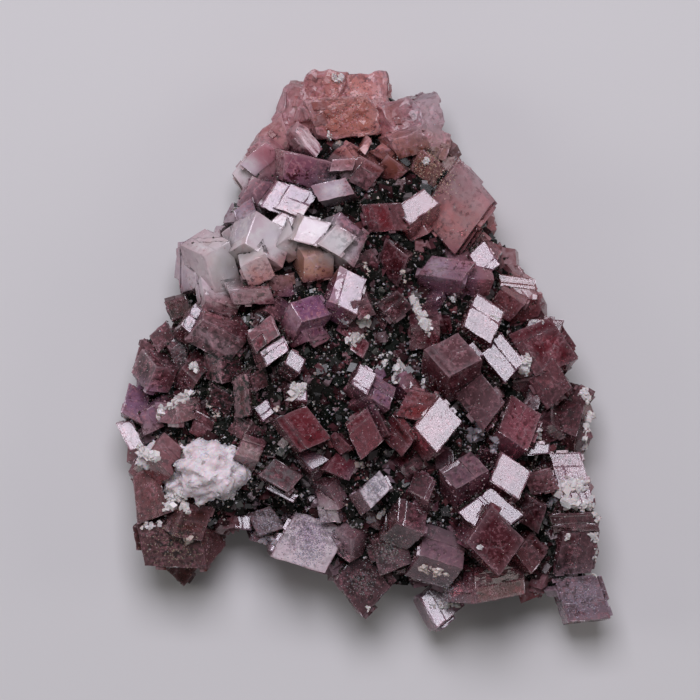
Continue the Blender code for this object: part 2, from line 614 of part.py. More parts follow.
def main():
    clear_scene()
    rock = finish_of("matrix_rock", (0.035, 0.036, 0.033), 0.6, 0.0)
    purple = finish_of("purple_calcite", (0.28, 0.10, 0.11), 0.2, 0.5)
    milky = finish_of("milky_calcite", (0.82, 0.76, 0.77), 0.45, 0.1)

    table = saw_table()
    matrix = matrix_solid("matrix", material=rock)
    boolean(matrix, "DIFFERENCE", table)

    crystals = BIG_CRYSTALS + parallel_growths(BIG_CRYSTALS) + fill_crystals(BIG_CRYSTALS) + flank_crystals()
    bodies = [rhombohedron(f"crystal_{number}", crystal) for number, crystal in enumerate(crystals)]
    crust = bodies[0]
    crust.name = "crust"
    matrix_room = as_cutter(matrix_solid("matrix_room", SEAM_GAP))
    boolean(crust, "UNION", group_of("grown_crystals", bodies[1:]))
    boolean(crust, "DIFFERENCE", matrix_room)
    for number, ball in enumerate(MILKY_BALLS):
        boolean(crust, "DIFFERENCE", as_cutter(milky_ball(f"milky_room_{number}", ball, SEAM_GAP)))
    boolean(crust, "DIFFERENCE", table)
    separate_bodies(crust, "calcite_crystals", "calcite_crystal", purple)

    lump = milky_ball("milky_calcite", MILKY_BALLS[0], material=milky)
    for number, ball in enumerate(MILKY_BALLS[1:]):
        boolean(lump, "UNION", as_cutter(milky_ball(f"milky_lump_{number}", ball)))
    boolean(lump, "DIFFERENCE", matrix_room)
    centre_on_origin()


main()
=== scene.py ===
# %% [markdown]
# # A purple calcite specimen
# Rhombohedral calcite crystals, maroon to salmon pink, crowd over a dark rock. White dolomite
# grains sit between them and a milky mass lies at the lower left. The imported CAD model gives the
# solids. These cells dress them: the flat faces get growth steps, the rock gets its druse, and
# every finish is built from nodes.

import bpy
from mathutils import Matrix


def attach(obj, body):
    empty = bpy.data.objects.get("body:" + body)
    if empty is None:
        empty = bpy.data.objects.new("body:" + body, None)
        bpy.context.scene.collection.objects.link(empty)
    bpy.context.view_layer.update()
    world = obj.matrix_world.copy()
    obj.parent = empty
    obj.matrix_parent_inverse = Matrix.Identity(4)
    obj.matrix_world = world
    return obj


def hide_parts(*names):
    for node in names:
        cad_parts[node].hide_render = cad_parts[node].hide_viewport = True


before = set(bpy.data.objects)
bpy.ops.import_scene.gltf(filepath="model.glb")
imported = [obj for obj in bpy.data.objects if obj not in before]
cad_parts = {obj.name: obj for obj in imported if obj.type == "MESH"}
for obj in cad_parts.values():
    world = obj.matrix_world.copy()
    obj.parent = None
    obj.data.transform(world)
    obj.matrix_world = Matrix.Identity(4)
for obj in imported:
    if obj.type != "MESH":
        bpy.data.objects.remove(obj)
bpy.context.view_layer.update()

# %% Modules and units
import math
import random

import bmesh
import bpy
import numpy as np
from mathutils import Matrix, Vector, noise
from mathutils.bvhtree import BVHTree

MM = 0.001
UP = Vector((0, 0, 1))
# The tables below count millimetres on the front view, whose zero lies here in the model.
FRONT_ZERO = Vector((-0.315, 0.414, 0.0))


def at_front(x, y, z=0.0):
    return (Vector((x, y, z)) + FRONT_ZERO) * MM


crystal_nodes = sorted(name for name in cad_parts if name.startswith("calcite_crystal"))
print(len(crystal_nodes), "crystal nodes")

# %% [markdown]
# ## Camera
# The specimen lies on its back, so the camera looks straight down on it. A long lens from a metre
# away keeps the tall middle from looking bigger than the rim, as in a catalogue picture of a
# mineral.

# %% Camera
VIEW_WIDTH = 0.126
CAMERA_HEIGHT = 1.0
camera_data = bpy.data.cameras.new("copy_stand")
camera_data.sensor_width = 36
camera_data.lens = camera_data.sensor_width * CAMERA_HEIGHT / VIEW_WIDTH
camera = bpy.data.objects.new("copy_stand", camera_data)
camera.location = at_front(-2.07, -0.18, 16) + UP * CAMERA_HEIGHT
bpy.context.scene.collection.objects.link(camera)
bpy.context.scene.camera = camera
print("lens", round(camera_data.lens), "mm")

# %% [markdown]
# ## Light
# Cleavage faces are mirrors: a face flashes only when it tips the light into the lens. Most of the
# bright faces of this specimen lean 13 degrees towards its crown, so a softbox hangs 26 degrees
# off the vertical on that side. Dimmer boxes at the sides catch the steep faces.

# %% Softboxes and world
def direction(toward, from_vertical):
    """The way to a point in the sky, by its turn and its angle from the vertical in degrees."""
    a, b = math.radians(toward), math.radians(from_vertical)
    return Vector((math.cos(a) * math.sin(b), math.sin(a) * math.sin(b), math.cos(b)))


def softbox(name, toward, from_vertical, distance, size, power, colour=(1, 1, 1)):
    light = bpy.data.lights.new(name, "AREA")
    light.shape = "RECTANGLE"
    light.size, light.size_y = size
    light.energy = power
    light.color = colour
    lamp = bpy.data.objects.new(name, light)
    way = direction(toward, from_vertical)
    lamp.location = way * distance
    lamp.rotation_euler = way.to_track_quat("Z", "Y").to_euler()
    bpy.context.scene.collection.objects.link(lamp)


CROWN_SIDE = 95
FLASH_LEAN = 13
softbox("key_softbox", CROWN_SIDE, 2 * FLASH_LEAN, 0.9, (0.46, 0.46), 6.2, (0.92, 0.89, 1.0))
softbox("left_softbox", 175, 60, 0.8, (0.3, 0.4), 0.8, (1.0, 0.98, 0.96))
softbox("right_softbox", 10, 62, 0.8, (0.3, 0.4), 0.65, (1.0, 0.96, 0.93))
softbox("foot_softbox", 270, 64, 0.8, (0.4, 0.25), 0.35)

world = bpy.data.worlds.new("studio")
world.use_nodes = True
world.node_tree.nodes["Background"].inputs["Color"].default_value = (0.95, 0.97, 1.0, 1)
world.node_tree.nodes["Background"].inputs["Strength"].default_value = 0.08
bpy.context.scene.world = world
bpy.context.scene.view_settings.view_transform = "Standard"

# %% [markdown]
# ## Node helpers
# Every finish is a Principled BSDF whose pattern comes from a few shared node groups. These
# helpers make a node, a product or a mix in one line each, so that a finish reads like a recipe.

# %% Nodes, groups and materials
def plug(tree, socket, value):
    """Links a node's output to the socket, or sets a plain value on it."""
    if isinstance(value, bpy.types.NodeSocket):
        tree.links.new(value, socket)
    else:
        socket.default_value = value


def node(tree, kind, settings=None, **values):
    """A node with its settings. Sockets are filled by name, or by number as i0, i1 and so on."""
    made = tree.nodes.new(kind)
    for name, value in (settings or {}).items():
        setattr(made, name, value)
    for name, value in values.items():
        numbered = name[0] == "i" and name[1:].isdigit()
        plug(tree, made.inputs[int(name[1:]) if numbered else name.replace("_", " ")], value)
    return made


def new_group(name, result, **inputs):
    """A node group of number sockets: its tree, its given inputs and the socket of its result."""
    tree = bpy.data.node_groups.new(name, "ShaderNodeTree")
    for label, value in inputs.items():
        label = label.replace("_", " ")
        socket = tree.interface.new_socket(label, in_out="INPUT", socket_type="NodeSocketFloat")
        socket.default_value = value
    tree.interface.new_socket(result, in_out="OUTPUT", socket_type="NodeSocketFloat")
    return tree, node(tree, "NodeGroupInput").outputs, node(tree, "NodeGroupOutput").inputs[result]


def placed(tree, group, **values):
    """Places a group with its own values, and gives its result."""
    return node(tree, "ShaderNodeGroup", {"node_tree": group}, **values).outputs[0]


def new_material(name, **plain):
    """A material, its tree and its shader, with plain values on the shader's own sockets."""
    material = bpy.data.materials.new(name)
    material.use_nodes = True
    shader = material.node_tree.nodes["Principled BSDF"]
    for label, value in plain.items():
        shader.inputs[label.replace("_", " ")].default_value = value
    return material, material.node_tree, shader


def feed(tree, shader, **results):
    """Links results to the shader's sockets."""
    for label, result in results.items():
        tree.links.new(result, shader.inputs[label.replace("_", " ")])


print("node helpers ready")

# %% Shorthands for single nodes
def reckon(tree, operation, *values, clamp=False):
    made = node(tree, "ShaderNodeMath", {"operation": operation, "use_clamp": clamp})
    for socket, value in zip(made.inputs, values):
        plug(tree, socket, value)
    return made.outputs[0]


def product(tree, first, *others):
    for other in others:
        first = reckon(tree, "MULTIPLY", first, other)
    return first


def moved(tree, operation, vector, **values):
    return node(tree, "ShaderNodeVectorMath", {"operation": operation}, i0=vector, **values).outputs[0]


def mixed(tree, share, a, b, blend="MIX"):
    made = node(tree, "ShaderNodeMix", {"data_type": "RGBA", "blend_type": blend}, i6=a, i7=b)
    plug(tree, made.inputs["Factor"], share)
    return made.outputs[2]


def ranged(tree, value, from_min, from_max=1.0, to_min=0.0, to_max=1.0, clamp=True, smooth=False):
    settings = {"clamp": clamp, "interpolation_type": "SMOOTHSTEP" if smooth else "LINEAR"}
    made = node(
        tree, "ShaderNodeMapRange", settings, Value=value, From_Min=from_min, From_Max=from_max,
        To_Min=to_min, To_Max=to_max,
    )
    return made.outputs["Result"]


def attribute(tree, name):
    return node(tree, "ShaderNodeAttribute", {"attribute_name": name}).outputs["Color"]


def parts_of(tree, colour):
    made = node(tree, "ShaderNodeSeparateColor", Color=colour)
    return made.outputs["Red"], made.outputs["Green"], made.outputs["Blue"]


def grey(tree, value):
    return node(tree, "ShaderNodeCombineColor", Red=value, Green=value, Blue=value).outputs["Color"]


def relief(tree, height, strength, distance):
    """The normal of a bump whose full height is a distance in metres."""
    bump = node(tree, "ShaderNodeBump", Strength=strength, Distance=distance, Height=height)
    return bump.outputs["Normal"]


def own_place(tree):
    return node(tree, "ShaderNodeTexCoord").outputs["Object"]


def noise_of(tree, size_mm, **values):
    """A noise over the piece, with lumps of a size in millimetres."""
    scale = reckon(tree, "DIVIDE", 1000.0, size_mm)
    made = node(tree, "ShaderNodeTexNoise", Vector=own_place(tree), Scale=scale, **values)
    return made.outputs["Fac"]


print("shorthands ready")

# %% [markdown]
# ## Shared effects
# Three patterns come back in several finishes. Speckle breaks a surface into grains of a given
# size. Cloud gives the slow change from clear to milky inside a crystal. Fractures are the thin
# bent planes where it has parted, which show as fine pale lines.

# %% The speckle group
speckle, given, result = new_group("Speckle", "Mask", Grain_mm=0.4, Amount=0.4, Edge=0.08)
spots = noise_of(speckle, given["Grain mm"], Detail=3.0, Roughness=0.6)
level = reckon(speckle, "SUBTRACT", 1.0, given["Amount"])
level_end = reckon(speckle, "ADD", level, given["Edge"])
plug(speckle, result, ranged(speckle, spots, level, level_end, smooth=True))
print("speckle group:", len(speckle.nodes), "nodes")

# %% The cloud group
cloud, given, result = new_group("Cloud", "Mask", Size_mm=3.0, Contrast=1.0)
billows = noise_of(cloud, given["Size mm"], Detail=4.0, Roughness=0.55, Distortion=0.6)
sway = product(cloud, reckon(cloud, "SUBTRACT", billows, 0.5), given["Contrast"])
plug(cloud, result, reckon(cloud, "ADD", sway, 0.5, clamp=True))
print("cloud group:", len(cloud.nodes), "nodes")

# %% The fracture group
fracture, given, result = new_group("Fractures", "Mask", Size_mm=4.0, Width=0.06)
straight = own_place(fracture)
bend = node(fracture, "ShaderNodeTexNoise", Vector=straight, Scale=500.0, Detail=2.0)
push = moved(fracture, "SCALE", bend.outputs["Color"], Scale=0.0016)
bent = moved(fracture, "ADD", straight, i1=push)
cell_scale = reckon(fracture, "DIVIDE", 1000.0, given["Size mm"])
cells = node(
    fracture, "ShaderNodeTexVoronoi", {"feature": "DISTANCE_TO_EDGE"}, Vector=bent, Scale=cell_scale,
)
thin = ranged(fracture, cells.outputs["Distance"], 0.0, given["Width"], 1.0, 0.0, smooth=True)
plug(fracture, result, thin)
print("fracture group:", len(fracture.nodes), "nodes")

# %% [markdown]
# ## The crystals' colours
# The colour isn't the same all over: the crown is salmon, the cluster at the left is nearly
# clear, the rest is maroon. Each vertex takes its tint from the patches around it. The tint is
# kept as a colour attribute that the material reads.

# %% Tints by patch
MAROON = (0.20, 0.023, 0.036)
RED_MAROON = (0.26, 0.030, 0.032)
DARK_MAROON = (0.085, 0.013, 0.018)
SALMON = (0.74, 0.27, 0.22)
ROSE = (0.46, 0.16, 0.17)
PINK = (0.48, 0.21, 0.215)
LILAC = (0.42, 0.22, 0.36)
PURPLE = (0.25, 0.08, 0.13)
GREY_LILAC = (0.46, 0.37, 0.45)
CLEAR = (0.98, 0.84, 0.85)
SMOKE = (0.52, 0.43, 0.48)
RUST = (0.30, 0.09, 0.045)

# Each patch: middle on the front view, reach in millimetres, tint.
PATCHES = [
    (-4, 46, 7, SALMON), (2, 41, 5, SALMON), (-2.5, 45.5, 3.4, (0.50, 0.12, 0.09)), (4.5, 46, 3, ROSE),
    (-9, 47, 3, ROSE), (-13, 44, 4, ROSE), (-17, 37, 5, ROSE), (-10, 33, 5, PURPLE),
    (11.5, 43, 3.5, SMOKE), (7, 42, 3, ROSE), (12, 34, 5, RUST), (-21, 32, 2.5, CLEAR),
    (-18, 28, 3.5, PURPLE), (-14, 27, 3, LILAC), (-5, 29, 3, SMOKE), (0, 30, 3, DARK_MAROON),
    (-16, 20.5, 5, CLEAR), (-8.5, 21, 3.2, CLEAR), (-4.2, 19.2, 2.6, CLEAR), (-2.5, 22.5, 2, PURPLE),
    (-25, 15, 4.5, CLEAR), (-30, 15, 3.5, SMOKE), (-22, 22.5, 3.5, SMOKE),
    (-18.4, 14, 2.8, (0.66, 0.26, 0.23)), (-9.8, 16.4, 3.0, (0.66, 0.28, 0.13)), (-13, 15.5, 2.5, RUST),
    (-25, 7, 2.6, PINK), (-20, 9.5, 2.5, ROSE), (18.5, 30, 5, (0.62, 0.42, 0.46)),
    (16, 22, 5.5, (0.95, 0.37, 0.35)), (4, 23.5, 4, MAROON), (24, 18, 3, PINK), (15, 14, 4, LILAC),
    # Painted glints: the pale patches at (13.6, 14.6), (-5, 29) and (-10.2, 37.6) stand for faces that flash.
    (13.6, 14.6, 1.8, (0.8, 0.7, 0.98)), (-5, 29, 1.8, (0.85, 0.8, 0.95)),
    (-10.2, 37.6, 1.5, (0.85, 0.72, 0.72)), (28, 11, 4, ROSE), (-9, 7.4, 3.4, (0.33, 0.13, 0.24)),
    (-17.4, 2.6, 2.6, MAROON), (-26, 1, 5, DARK_MAROON), (-29, -6, 4, DARK_MAROON),
    (-33, 7, 3, DARK_MAROON), (-37, -1, 5, DARK_MAROON), (-40.5, -9.5, 3, LILAC),
    (-41.5, -15.5, 2.5, SMOKE), (-34.6, -18.8, 3, RED_MAROON), (-38, -26, 4, (0.26, 0.06, 0.06)),
    (-34, -35, 6, (0.13, 0.035, 0.025)), (-20, -8, 5, DARK_MAROON), (-10, -14, 4, MAROON),
    (-14, -23, 4, DARK_MAROON), (-17, -31, 3, GREY_LILAC), (-9, -35, 5.5, (0.70, 0.50, 0.59)),
    (0, -42, 5, DARK_MAROON), (5, -36, 4, DARK_MAROON), (2.4, -25, 2.8, GREY_LILAC), (0, -14, 4, MAROON),
    (9, -12, 4, RED_MAROON), (14.6, -35, 5, PURPLE), (25, -42, 6, (0.22, 0.032, 0.034)),
    (24, -34, 4, MAROON), (39.8, -45, 4.5, GREY_LILAC), (38, -22, 4, PINK),
    (33, 0.5, 6, (0.17, 0.018, 0.026)), (16, -1, 4, MAROON), (21, -9, 5, DARK_MAROON),
    (28, -14, 4, (0.36, 0.12, 0.17)), (36, -12, 4, DARK_MAROON), (38, -34, 5, DARK_MAROON),
    (30, -29, 4, DARK_MAROON), (18, -22, 3.5, PURPLE), (6, 7, 5, DARK_MAROON), (5, 15, 4, DARK_MAROON),
    (3.4, -7.6, 3, LILAC), (14.7, -46, 3.5, GREY_LILAC),
]
# Away from all patches the tint is maroon. It counts everywhere with this small weight.
MAROON_WEIGHT = 0.06

# Each grimy patch: middle on the front view, reach in millimetres, strength.
GRIME = [
    (-9.2, -33, 4.2, 1.0), (-34, -35, 6, 1.0), (2.4, -25, 3, 0.7), (39.8, -45, 4, 0.6),
    (14.7, -43.6, 2.4, 0.8), (-20, -5, 7, 0.8), (-26, -2, 5, 0.6), (-14, 0, 4, 0.6), (-22, -12, 4, 0.6),
    (5, -36, 4, 0.9), (0, -42, 3.6, 1.0), (-32, 4, 5, 0.8), (-17, -31, 3.5, 0.7), (4, 8, 5, 0.7),
    (-15, -22, 5, 0.7), (20, -18, 4, 0.6), (37, -12, 4, 0.7), (35, -40, 4, 0.8), (-26, -9, 4, 0.8),
    (11, 33, 3, 0.5), (-38, -26, 3, 0.5), (10, -22, 4, 0.7), (0, 20, 4, 0.7),
]


def in_columns(table):
    """A table of patches as three arrays: middles, reaches and values."""
    middles = np.array([(x, y) for x, y, _, _ in table])
    return middles, np.array([reach for _, _, reach, _ in table]), np.array([value for *_, value in table])


def weights_at(points, middles, reaches):
    """How much each patch counts at points of the model."""
    places = np.array([(p.x, p.y) for p in points]) / MM - (FRONT_ZERO.x, FRONT_ZERO.y)
    gaps = ((places[:, None, :] - middles[None, :, :]) ** 2).sum(axis=2)
    return np.exp(-gaps / reaches**2)


PATCH_MIDDLES, PATCH_REACHES, PATCH_TINTS = in_columns(PATCHES)
GRIME_MIDDLES, GRIME_REACHES, GRIME_AMOUNTS = in_columns(GRIME)


def grime_at(points):
    """How much dark druse dust lies on points of the model, from 0 to 1."""
    weights = weights_at(points, GRIME_MIDDLES, GRIME_REACHES)
    return np.minimum((weights * GRIME_AMOUNTS).sum(axis=1), 1.0).tolist()


def tints_at(points):
    """The tints of the patches around points of the model, in linear red, green and blue."""
    weights = weights_at(points, PATCH_MIDDLES, PATCH_REACHES)
    mix = weights @ PATCH_TINTS + MAROON_WEIGHT * np.array(MAROON)
    return (mix / (weights.sum(axis=1, keepdims=True) + MAROON_WEIGHT)).tolist()


print(len(PATCHES), "patches of colour and", len(GRIME), "of grime")

# %% [markdown]
# ## Growth steps
# A calcite face is never one plane: it ends in steps a tenth of a millimetre high that run along
# the crystal's own edges. About half of the large faces are cut along a line beside one of their
# edges, and the smaller part is raised or sunk by a step. The mesh tools may give back faces in
# another order each run, so they are put in order by their place before a random choice.

# %% Order by place
SAME_POINT = 1e-6
FLAT_WITHIN = math.radians(0.4)


def place_of(point):
    """A point in whole thousandths of a millimetre, to sort by."""
    return tuple(round(part / MM * 1000) for part in point)


def in_order(faces):
    """Faces in an order that depends only on where they lie."""
    return sorted(faces, key=lambda f: place_of(f.calc_center_median()))


def edge_key(edge):
    """An edge's length and place, to sort by."""
    return round(edge.calc_length() / MM * 100), place_of((edge.verts[0].co + edge.verts[1].co) / 2)


def edge_way(edge):
    """The edge's direction, always pointing the same way round."""
    way = (edge.verts[1].co - edge.verts[0].co).normalized()
    return way if max(way, key=abs) > 0 else -way


def rebuilt(shape):
    """The same mesh with its corners and faces in an order that depends only on where they lie."""
    verts = sorted(shape.verts, key=lambda v: place_of(v.co))
    rank = {v: k for k, v in enumerate(verts)}
    rings = []
    for face in shape.faces:
        ring = [rank[v] for v in face.verts]
        first = ring.index(min(ring))
        rings.append(ring[first:] + ring[:first])
    fresh = bmesh.new()
    made = [fresh.verts.new(v.co) for v in verts]
    for ring in sorted(rings):
        fresh.faces.new([made[k] for k in ring])
    shape.free()
    fresh.normal_update()
    return fresh


def joined_copy(name):
    """The node's mesh, with its triangles joined at their corners."""
    shape = bmesh.new()
    shape.from_mesh(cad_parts[name].data)
    bmesh.ops.remove_doubles(shape, verts=shape.verts, dist=SAME_POINT)
    return shape


def flat_copy(name):
    """The node's mesh with every flat face as one polygon."""
    shape = joined_copy(name)
    bmesh.ops.dissolve_limit(shape, angle_limit=FLAT_WITHIN, verts=shape.verts, edges=shape.edges)
    return rebuilt(shape)


print("flat copies are taken within", round(math.degrees(FLAT_WITHIN), 1), "degrees")

# %% Steps across the faces
SMALLEST_STEPPED = 5.0
SMALLEST_PART = 0.8
CUT_PLACES = (0.15, 0.85)
STEP_HEIGHTS = (-0.16, 0.22)
FAINTEST_STEP = 0.05
USUAL_STEP = 0.09
STEPPED_SHARE = 0.5
SECOND_STEP_SHARE = 0.4


def step_face(shape, face, chance):
    """Cuts a strip off the face, along one of its edges, and shifts it by a step."""
    edge = chance.choice(sorted(face.edges, key=edge_key, reverse=True)[:3])
    inward = face.normal.cross(edge_way(edge)).normalized()
    middle = face.calc_center_median()
    spans = [(v.co - middle).dot(inward) for v in face.verts]
    cut = min(spans) + (max(spans) - min(spans)) * chance.uniform(*CUT_PLACES)
    normal = face.normal.copy()
    found = bmesh.ops.bisect_plane(
        shape, geom=[face] + list(face.edges) + list(face.verts), dist=1e-7, plane_co=middle + inward * cut,
        plane_no=inward,
    )
    halves = [g for g in found["geom"] if isinstance(g, bmesh.types.BMFace)]
    halves = in_order(f for f in halves if f.is_valid and f.calc_area() > SMALLEST_PART * MM**2)
    if len(halves) < 2:
        return []
    lift = chance.uniform(*STEP_HEIGHTS)
    lift = USUAL_STEP if abs(lift) < FAINTEST_STEP else lift
    small = min(halves, key=lambda f: f.calc_area())
    grown = bmesh.ops.extrude_discrete_faces(shape, faces=[small])["faces"]
    for f in grown:
        bmesh.ops.translate(shape, verts=f.verts, vec=normal * lift * MM)
    return [f for f in halves if f.is_valid] + in_order(grown)


def grow_steps(shape, seed):
    """Steps about half of the large faces once or twice, and gives the number of steps."""
    chance = random.Random(seed)
    steps = 0
    for face in in_order(f for f in shape.faces if f.calc_area() > SMALLEST_STEPPED * MM**2):
        if chance.random() > STEPPED_SHARE:
            continue
        parts = [face]
        for _ in range(1 + int(chance.random() < SECOND_STEP_SHARE)):
            parts = [p for p in parts if p.is_valid and p.calc_area() > SMALLEST_STEPPED * MM**2]
            if not parts:
                break
            made = step_face(shape, max(parts, key=lambda p: p.calc_area()), chance)
            parts += made
            steps += bool(made)
    return steps


print("steps from", STEP_HEIGHTS[0], "to", STEP_HEIGHTS[1], "mm")

# %% [markdown]
# ## Worn rims with a painted glow
# The edges of a crystal take the first knocks, so they are a little rounded. They are also painted
# paler, partly as wear and partly as a painted glow of the light that comes through them. Each face
# gets a rim of a quarter of a millimetre and its middle is set a hair higher, which tips the rims
# outward. A second ring further in lets the pale edge fade. A value on each vertex says how near
# the edge it is, for the material to use.

# %% Rims round the faces
RIM_WIDTHS = (0.22, 0.12, 0.06)
GLOW_WIDTHS = (1.3, 0.8, 0.45)
RIM_RISE = 0.025
GLOW_SHARE = 0.4
SHARPEST_BEND = 0.2


def inner_outline(corners, normal, width):
    """The polygon set in from its sides by a width, or None if a side would turn over."""
    count = len(corners)
    ways = [(corners[(k + 1) % count] - corners[k]) for k in range(count)]
    if min(w.length for w in ways) < SAME_POINT:
        return None
    inward = [normal.cross(w.normalized()) for w in ways]
    inner = []
    for k in range(count):
        total = inward[k - 1] + inward[k]
        bend_share = 1 + inward[k - 1].dot(inward[k])
        if bend_share < SHARPEST_BEND:
            return None
        inner.append(corners[k] + total / bend_share * width)
    for k in range(count):
        if (inner[(k + 1) % count] - inner[k]).dot(ways[k]) <= 0:
            return None
    return inner


def ring_in(shape, face, normal, widths, rise, value):
    """Sets a ring inside a face at the first width that fits, and returns the face in its middle."""
    rim, plane = shape.verts.layers.float["rim"], shape.faces.layers.int["plane"]
    outer = list(face.verts)
    for width in widths:
        inner = inner_outline([v.co for v in outer], normal, width * MM)
        if inner:
            break
    if not inner:
        return None
    number = face[plane]
    verts = [shape.verts.new(p + normal * rise * MM) for p in inner]
    for vert in verts:
        vert[rim] = value
    middle = shape.faces.new(verts)
    made = [middle]
    for k in range(len(outer)):
        after = (k + 1) % len(outer)
        made.append(shape.faces.new((outer[k], outer[after], verts[after], verts[k])))
    for f in made:
        f[plane] = number
    shape.faces.remove(face)
    return middle


def rim_faces(shape):
    """Gives the larger faces a narrow rim and a wide one inside it, and marks the vertices."""
    rim = shape.verts.layers.float.new("rim")
    for vert in shape.verts:
        vert[rim] = 1.0
    plane = shape.faces.layers.int.new("plane")
    rimmed = 0
    for number, face in enumerate(in_order(shape.faces)):
        face[plane] = number
        if face.calc_area() < SMALLEST_PART * MM**2:
            continue
        normal = face.normal.copy()
        middle = ring_in(shape, face, normal, RIM_WIDTHS, RIM_RISE, GLOW_SHARE)
        if middle:
            ring_in(shape, middle, normal, GLOW_WIDTHS, 0.0, 0.0)
            rimmed += 1
    return rimmed


def cut_finer(shape, longest, rounds):
    """Splits every edge that is longer than this, round after round."""
    bmesh.ops.triangulate(shape, faces=shape.faces, quad_method="BEAUTY", ngon_method="BEAUTY")
    for _ in range(rounds):
        long_edges = [e for e in shape.edges if e.calc_length() > longest * MM]
        if not long_edges:
            break
        bmesh.ops.subdivide_edges(shape, edges=long_edges, cuts=1)
        bmesh.ops.triangulate(shape, faces=shape.faces, quad_method="BEAUTY", ngon_method="BEAUTY")


print("rims of", RIM_WIDTHS[0], "mm, glow of", GLOW_WIDTHS[0], "mm")

# %% [markdown]
# ## Light and shade in the hollows
# Where crystals meet, the colour is darkened with painted shade. Rays sent out from every
# vertex find out how much of the sky it sees, and that share is stored beside the rim value.

# %% How open each vertex is
GOLDEN_TURN = 2.399963
LOWEST_RAY = 0.1


def tree_of(objects):
    """A search tree of the objects' faces, for rays and nearest points."""
    points, faces = [], []
    for obj in objects:
        first = len(points)
        points += [v.co.copy() for v in obj.data.vertices]
        faces += [[first + k for k in p.vertices] for p in obj.data.polygons]
    return BVHTree.FromPolygons(points, faces)


def sky_rays(count):
    """Directions spread evenly over half a ball."""
    rays = []
    for k in range(count):
        z = 1 - (k + 0.5) / count * (1 - LOWEST_RAY)
        r = math.sqrt(1 - z * z)
        rays.append(Vector((r * math.cos(k * GOLDEN_TURN), r * math.sin(k * GOLDEN_TURN), z)))
    return rays


SKY = sky_rays(14)
SKY_REACH = 7 * MM
# The rays start this far out, so that a sunk growth step isn't shut in by the solid over it.
RAY_START = 0.32
packed_tree = tree_of([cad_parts[name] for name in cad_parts])


def openness(point, normal):
    """The share of the sky that a point sees, from 0 to 1."""
    facing = normal.to_track_quat("Z", "Y").to_matrix()
    start = point + normal * RAY_START * MM
    free = sum(1 for ray in SKY if packed_tree.ray_cast(start, facing @ ray, SKY_REACH)[0] is None)
    return free / len(SKY)


print(len(SKY), "rays from each vertex")

# %% [markdown]
# ## Dressed crystals
# Each cluster of crystals in the model is replaced by a stepped and rimmed copy. A map in
# millimetres lies on every face with its first axis along the longest edge, so that the growth
# pattern can follow it. Faces that tip the key light into the lens get a painted lilac sheen mixed
# into their colour, like the glints of the real ones, and the crown is worn round.

# %% Values of the faces
CROWN_START = 36.5
# The faces that flash lean this way, half as far as the key light.
FLASHING = direction(CROWN_SIDE, FLASH_LEAN)
FLASH_FROM = 0.99
# Painted sheen: faces that tip the key light into the lens get this lilac mixed into their colour.
PAINTED_SHEEN_TINT = (0.34, 0.22, 0.38)
PAINTED_SHEEN_SHARE = 0.4
CLEAR_SHADE = 1.2
CROWN_ROUGH = 2.0

# Faces with a fine sugary skin and faces that stay dull: middle on the front view, reach in
# millimetres, roughness, pits.
SUGARY_FACES = [
    (-9.2, -34.8, 4.0, 2.2, 0.9), (2.4, -25, 2.4, 1.6, 1.0), (39.8, -45, 3.5, 1.7, 1.0),
    (-17, -31, 2.5, 1.4, 1.0), (16.3, -1.1, 3, 4.8, 0.3), (18.6, -21.8, 2.5, 4.8, 0.6),
    (14.1, -35.3, 3, 4.2, 0.8), (-35.4, -18.2, 3, 4.8, 0.3), (37.8, -22, 2.2, 1.1, 1.0),
]


def face_ways(face):
    """The direction of the longest edge, and the one across it."""
    way = edge_way(max(face.edges, key=edge_key))
    return way, face.normal.cross(way)


def corners_of(face):
    """The corners in turn, from the one that comes first by place."""
    corners = [v.co.copy() for v in face.verts]
    first = min(range(len(corners)), key=lambda k: place_of(corners[k]))
    return corners[first:] + corners[:first]


def flashes(normal):
    return normal.dot(FLASHING) > FLASH_FROM


def own_values(ways, chance):
    """Each face's own shade, roughness and pits."""
    values = []
    for normal, _, _, centre, _, _ in ways:
        shade, rough, pits = chance.random(), chance.random(), chance.random()
        value = (shade, 0.9 * rough, 0.45 + 0.5 * pits) if flashes(normal) else (shade, rough, pits)
        for x, y, reach, sugar_rough, sugar_pits in SUGARY_FACES:
            if (centre - at_front(x, y, centre.z / MM)).length < reach * MM:
                value = (shade, sugar_rough, sugar_pits)
        if centre.y > CROWN_START * MM:
            value = (shade, CROWN_ROUGH, pits)
        values.append(value)
    return values


print(len(SUGARY_FACES), "sugary or dull faces")

# %% Wear
EDGE_RAGGED = 0.21
EDGE_LUMPS = 0.9
CROWN_RAGGED = 0.55
CROWN_LUMPS = 1.7
CROWN_FADE = 4
CROWN_ROUNDS = 4


def wobble(point):
    """Three smooth noises of a point, as a vector."""
    return Vector([noise.noise(point + Vector((31 * k, 17 * k, 0))) for k in (1, 2, 3)])


def wear_edges(shape):
    """Breaks the straight line of the edges."""
    rim = shape.verts.layers.float["rim"]
    for vert in shape.verts:
        if vert[rim] > 0.9:
            vert.co += wobble(vert.co / (EDGE_LUMPS * MM)) * EDGE_RAGGED * MM


def wear_crown(shape):
    """Rounds the corners of the crown, which is worn and grown uneven."""
    crown = [v for v in shape.verts if v.co.y > CROWN_START * MM]
    all_ways = {"use_axis_x": True, "use_axis_y": True, "use_axis_z": True}
    for _ in range(CROWN_ROUNDS):
        bmesh.ops.smooth_vert(shape, verts=crown, factor=0.5, **all_ways)
    for vert in crown:
        fade = min((vert.co.y / MM - CROWN_START) / CROWN_FADE, 1)
        vert.co += wobble(vert.co / (CROWN_LUMPS * MM)) * CROWN_RAGGED * fade * MM


print("edges ragged by", EDGE_RAGGED, "mm, the crown by", CROWN_RAGGED, "mm")

# %% Colours on the mesh
def store_colours(mesh, name, domain, values):
    layer = mesh.color_attributes.new(name, "FLOAT_COLOR", domain)
    layer.data.foreach_set("color", np.asarray(values, dtype=np.float32).ravel())


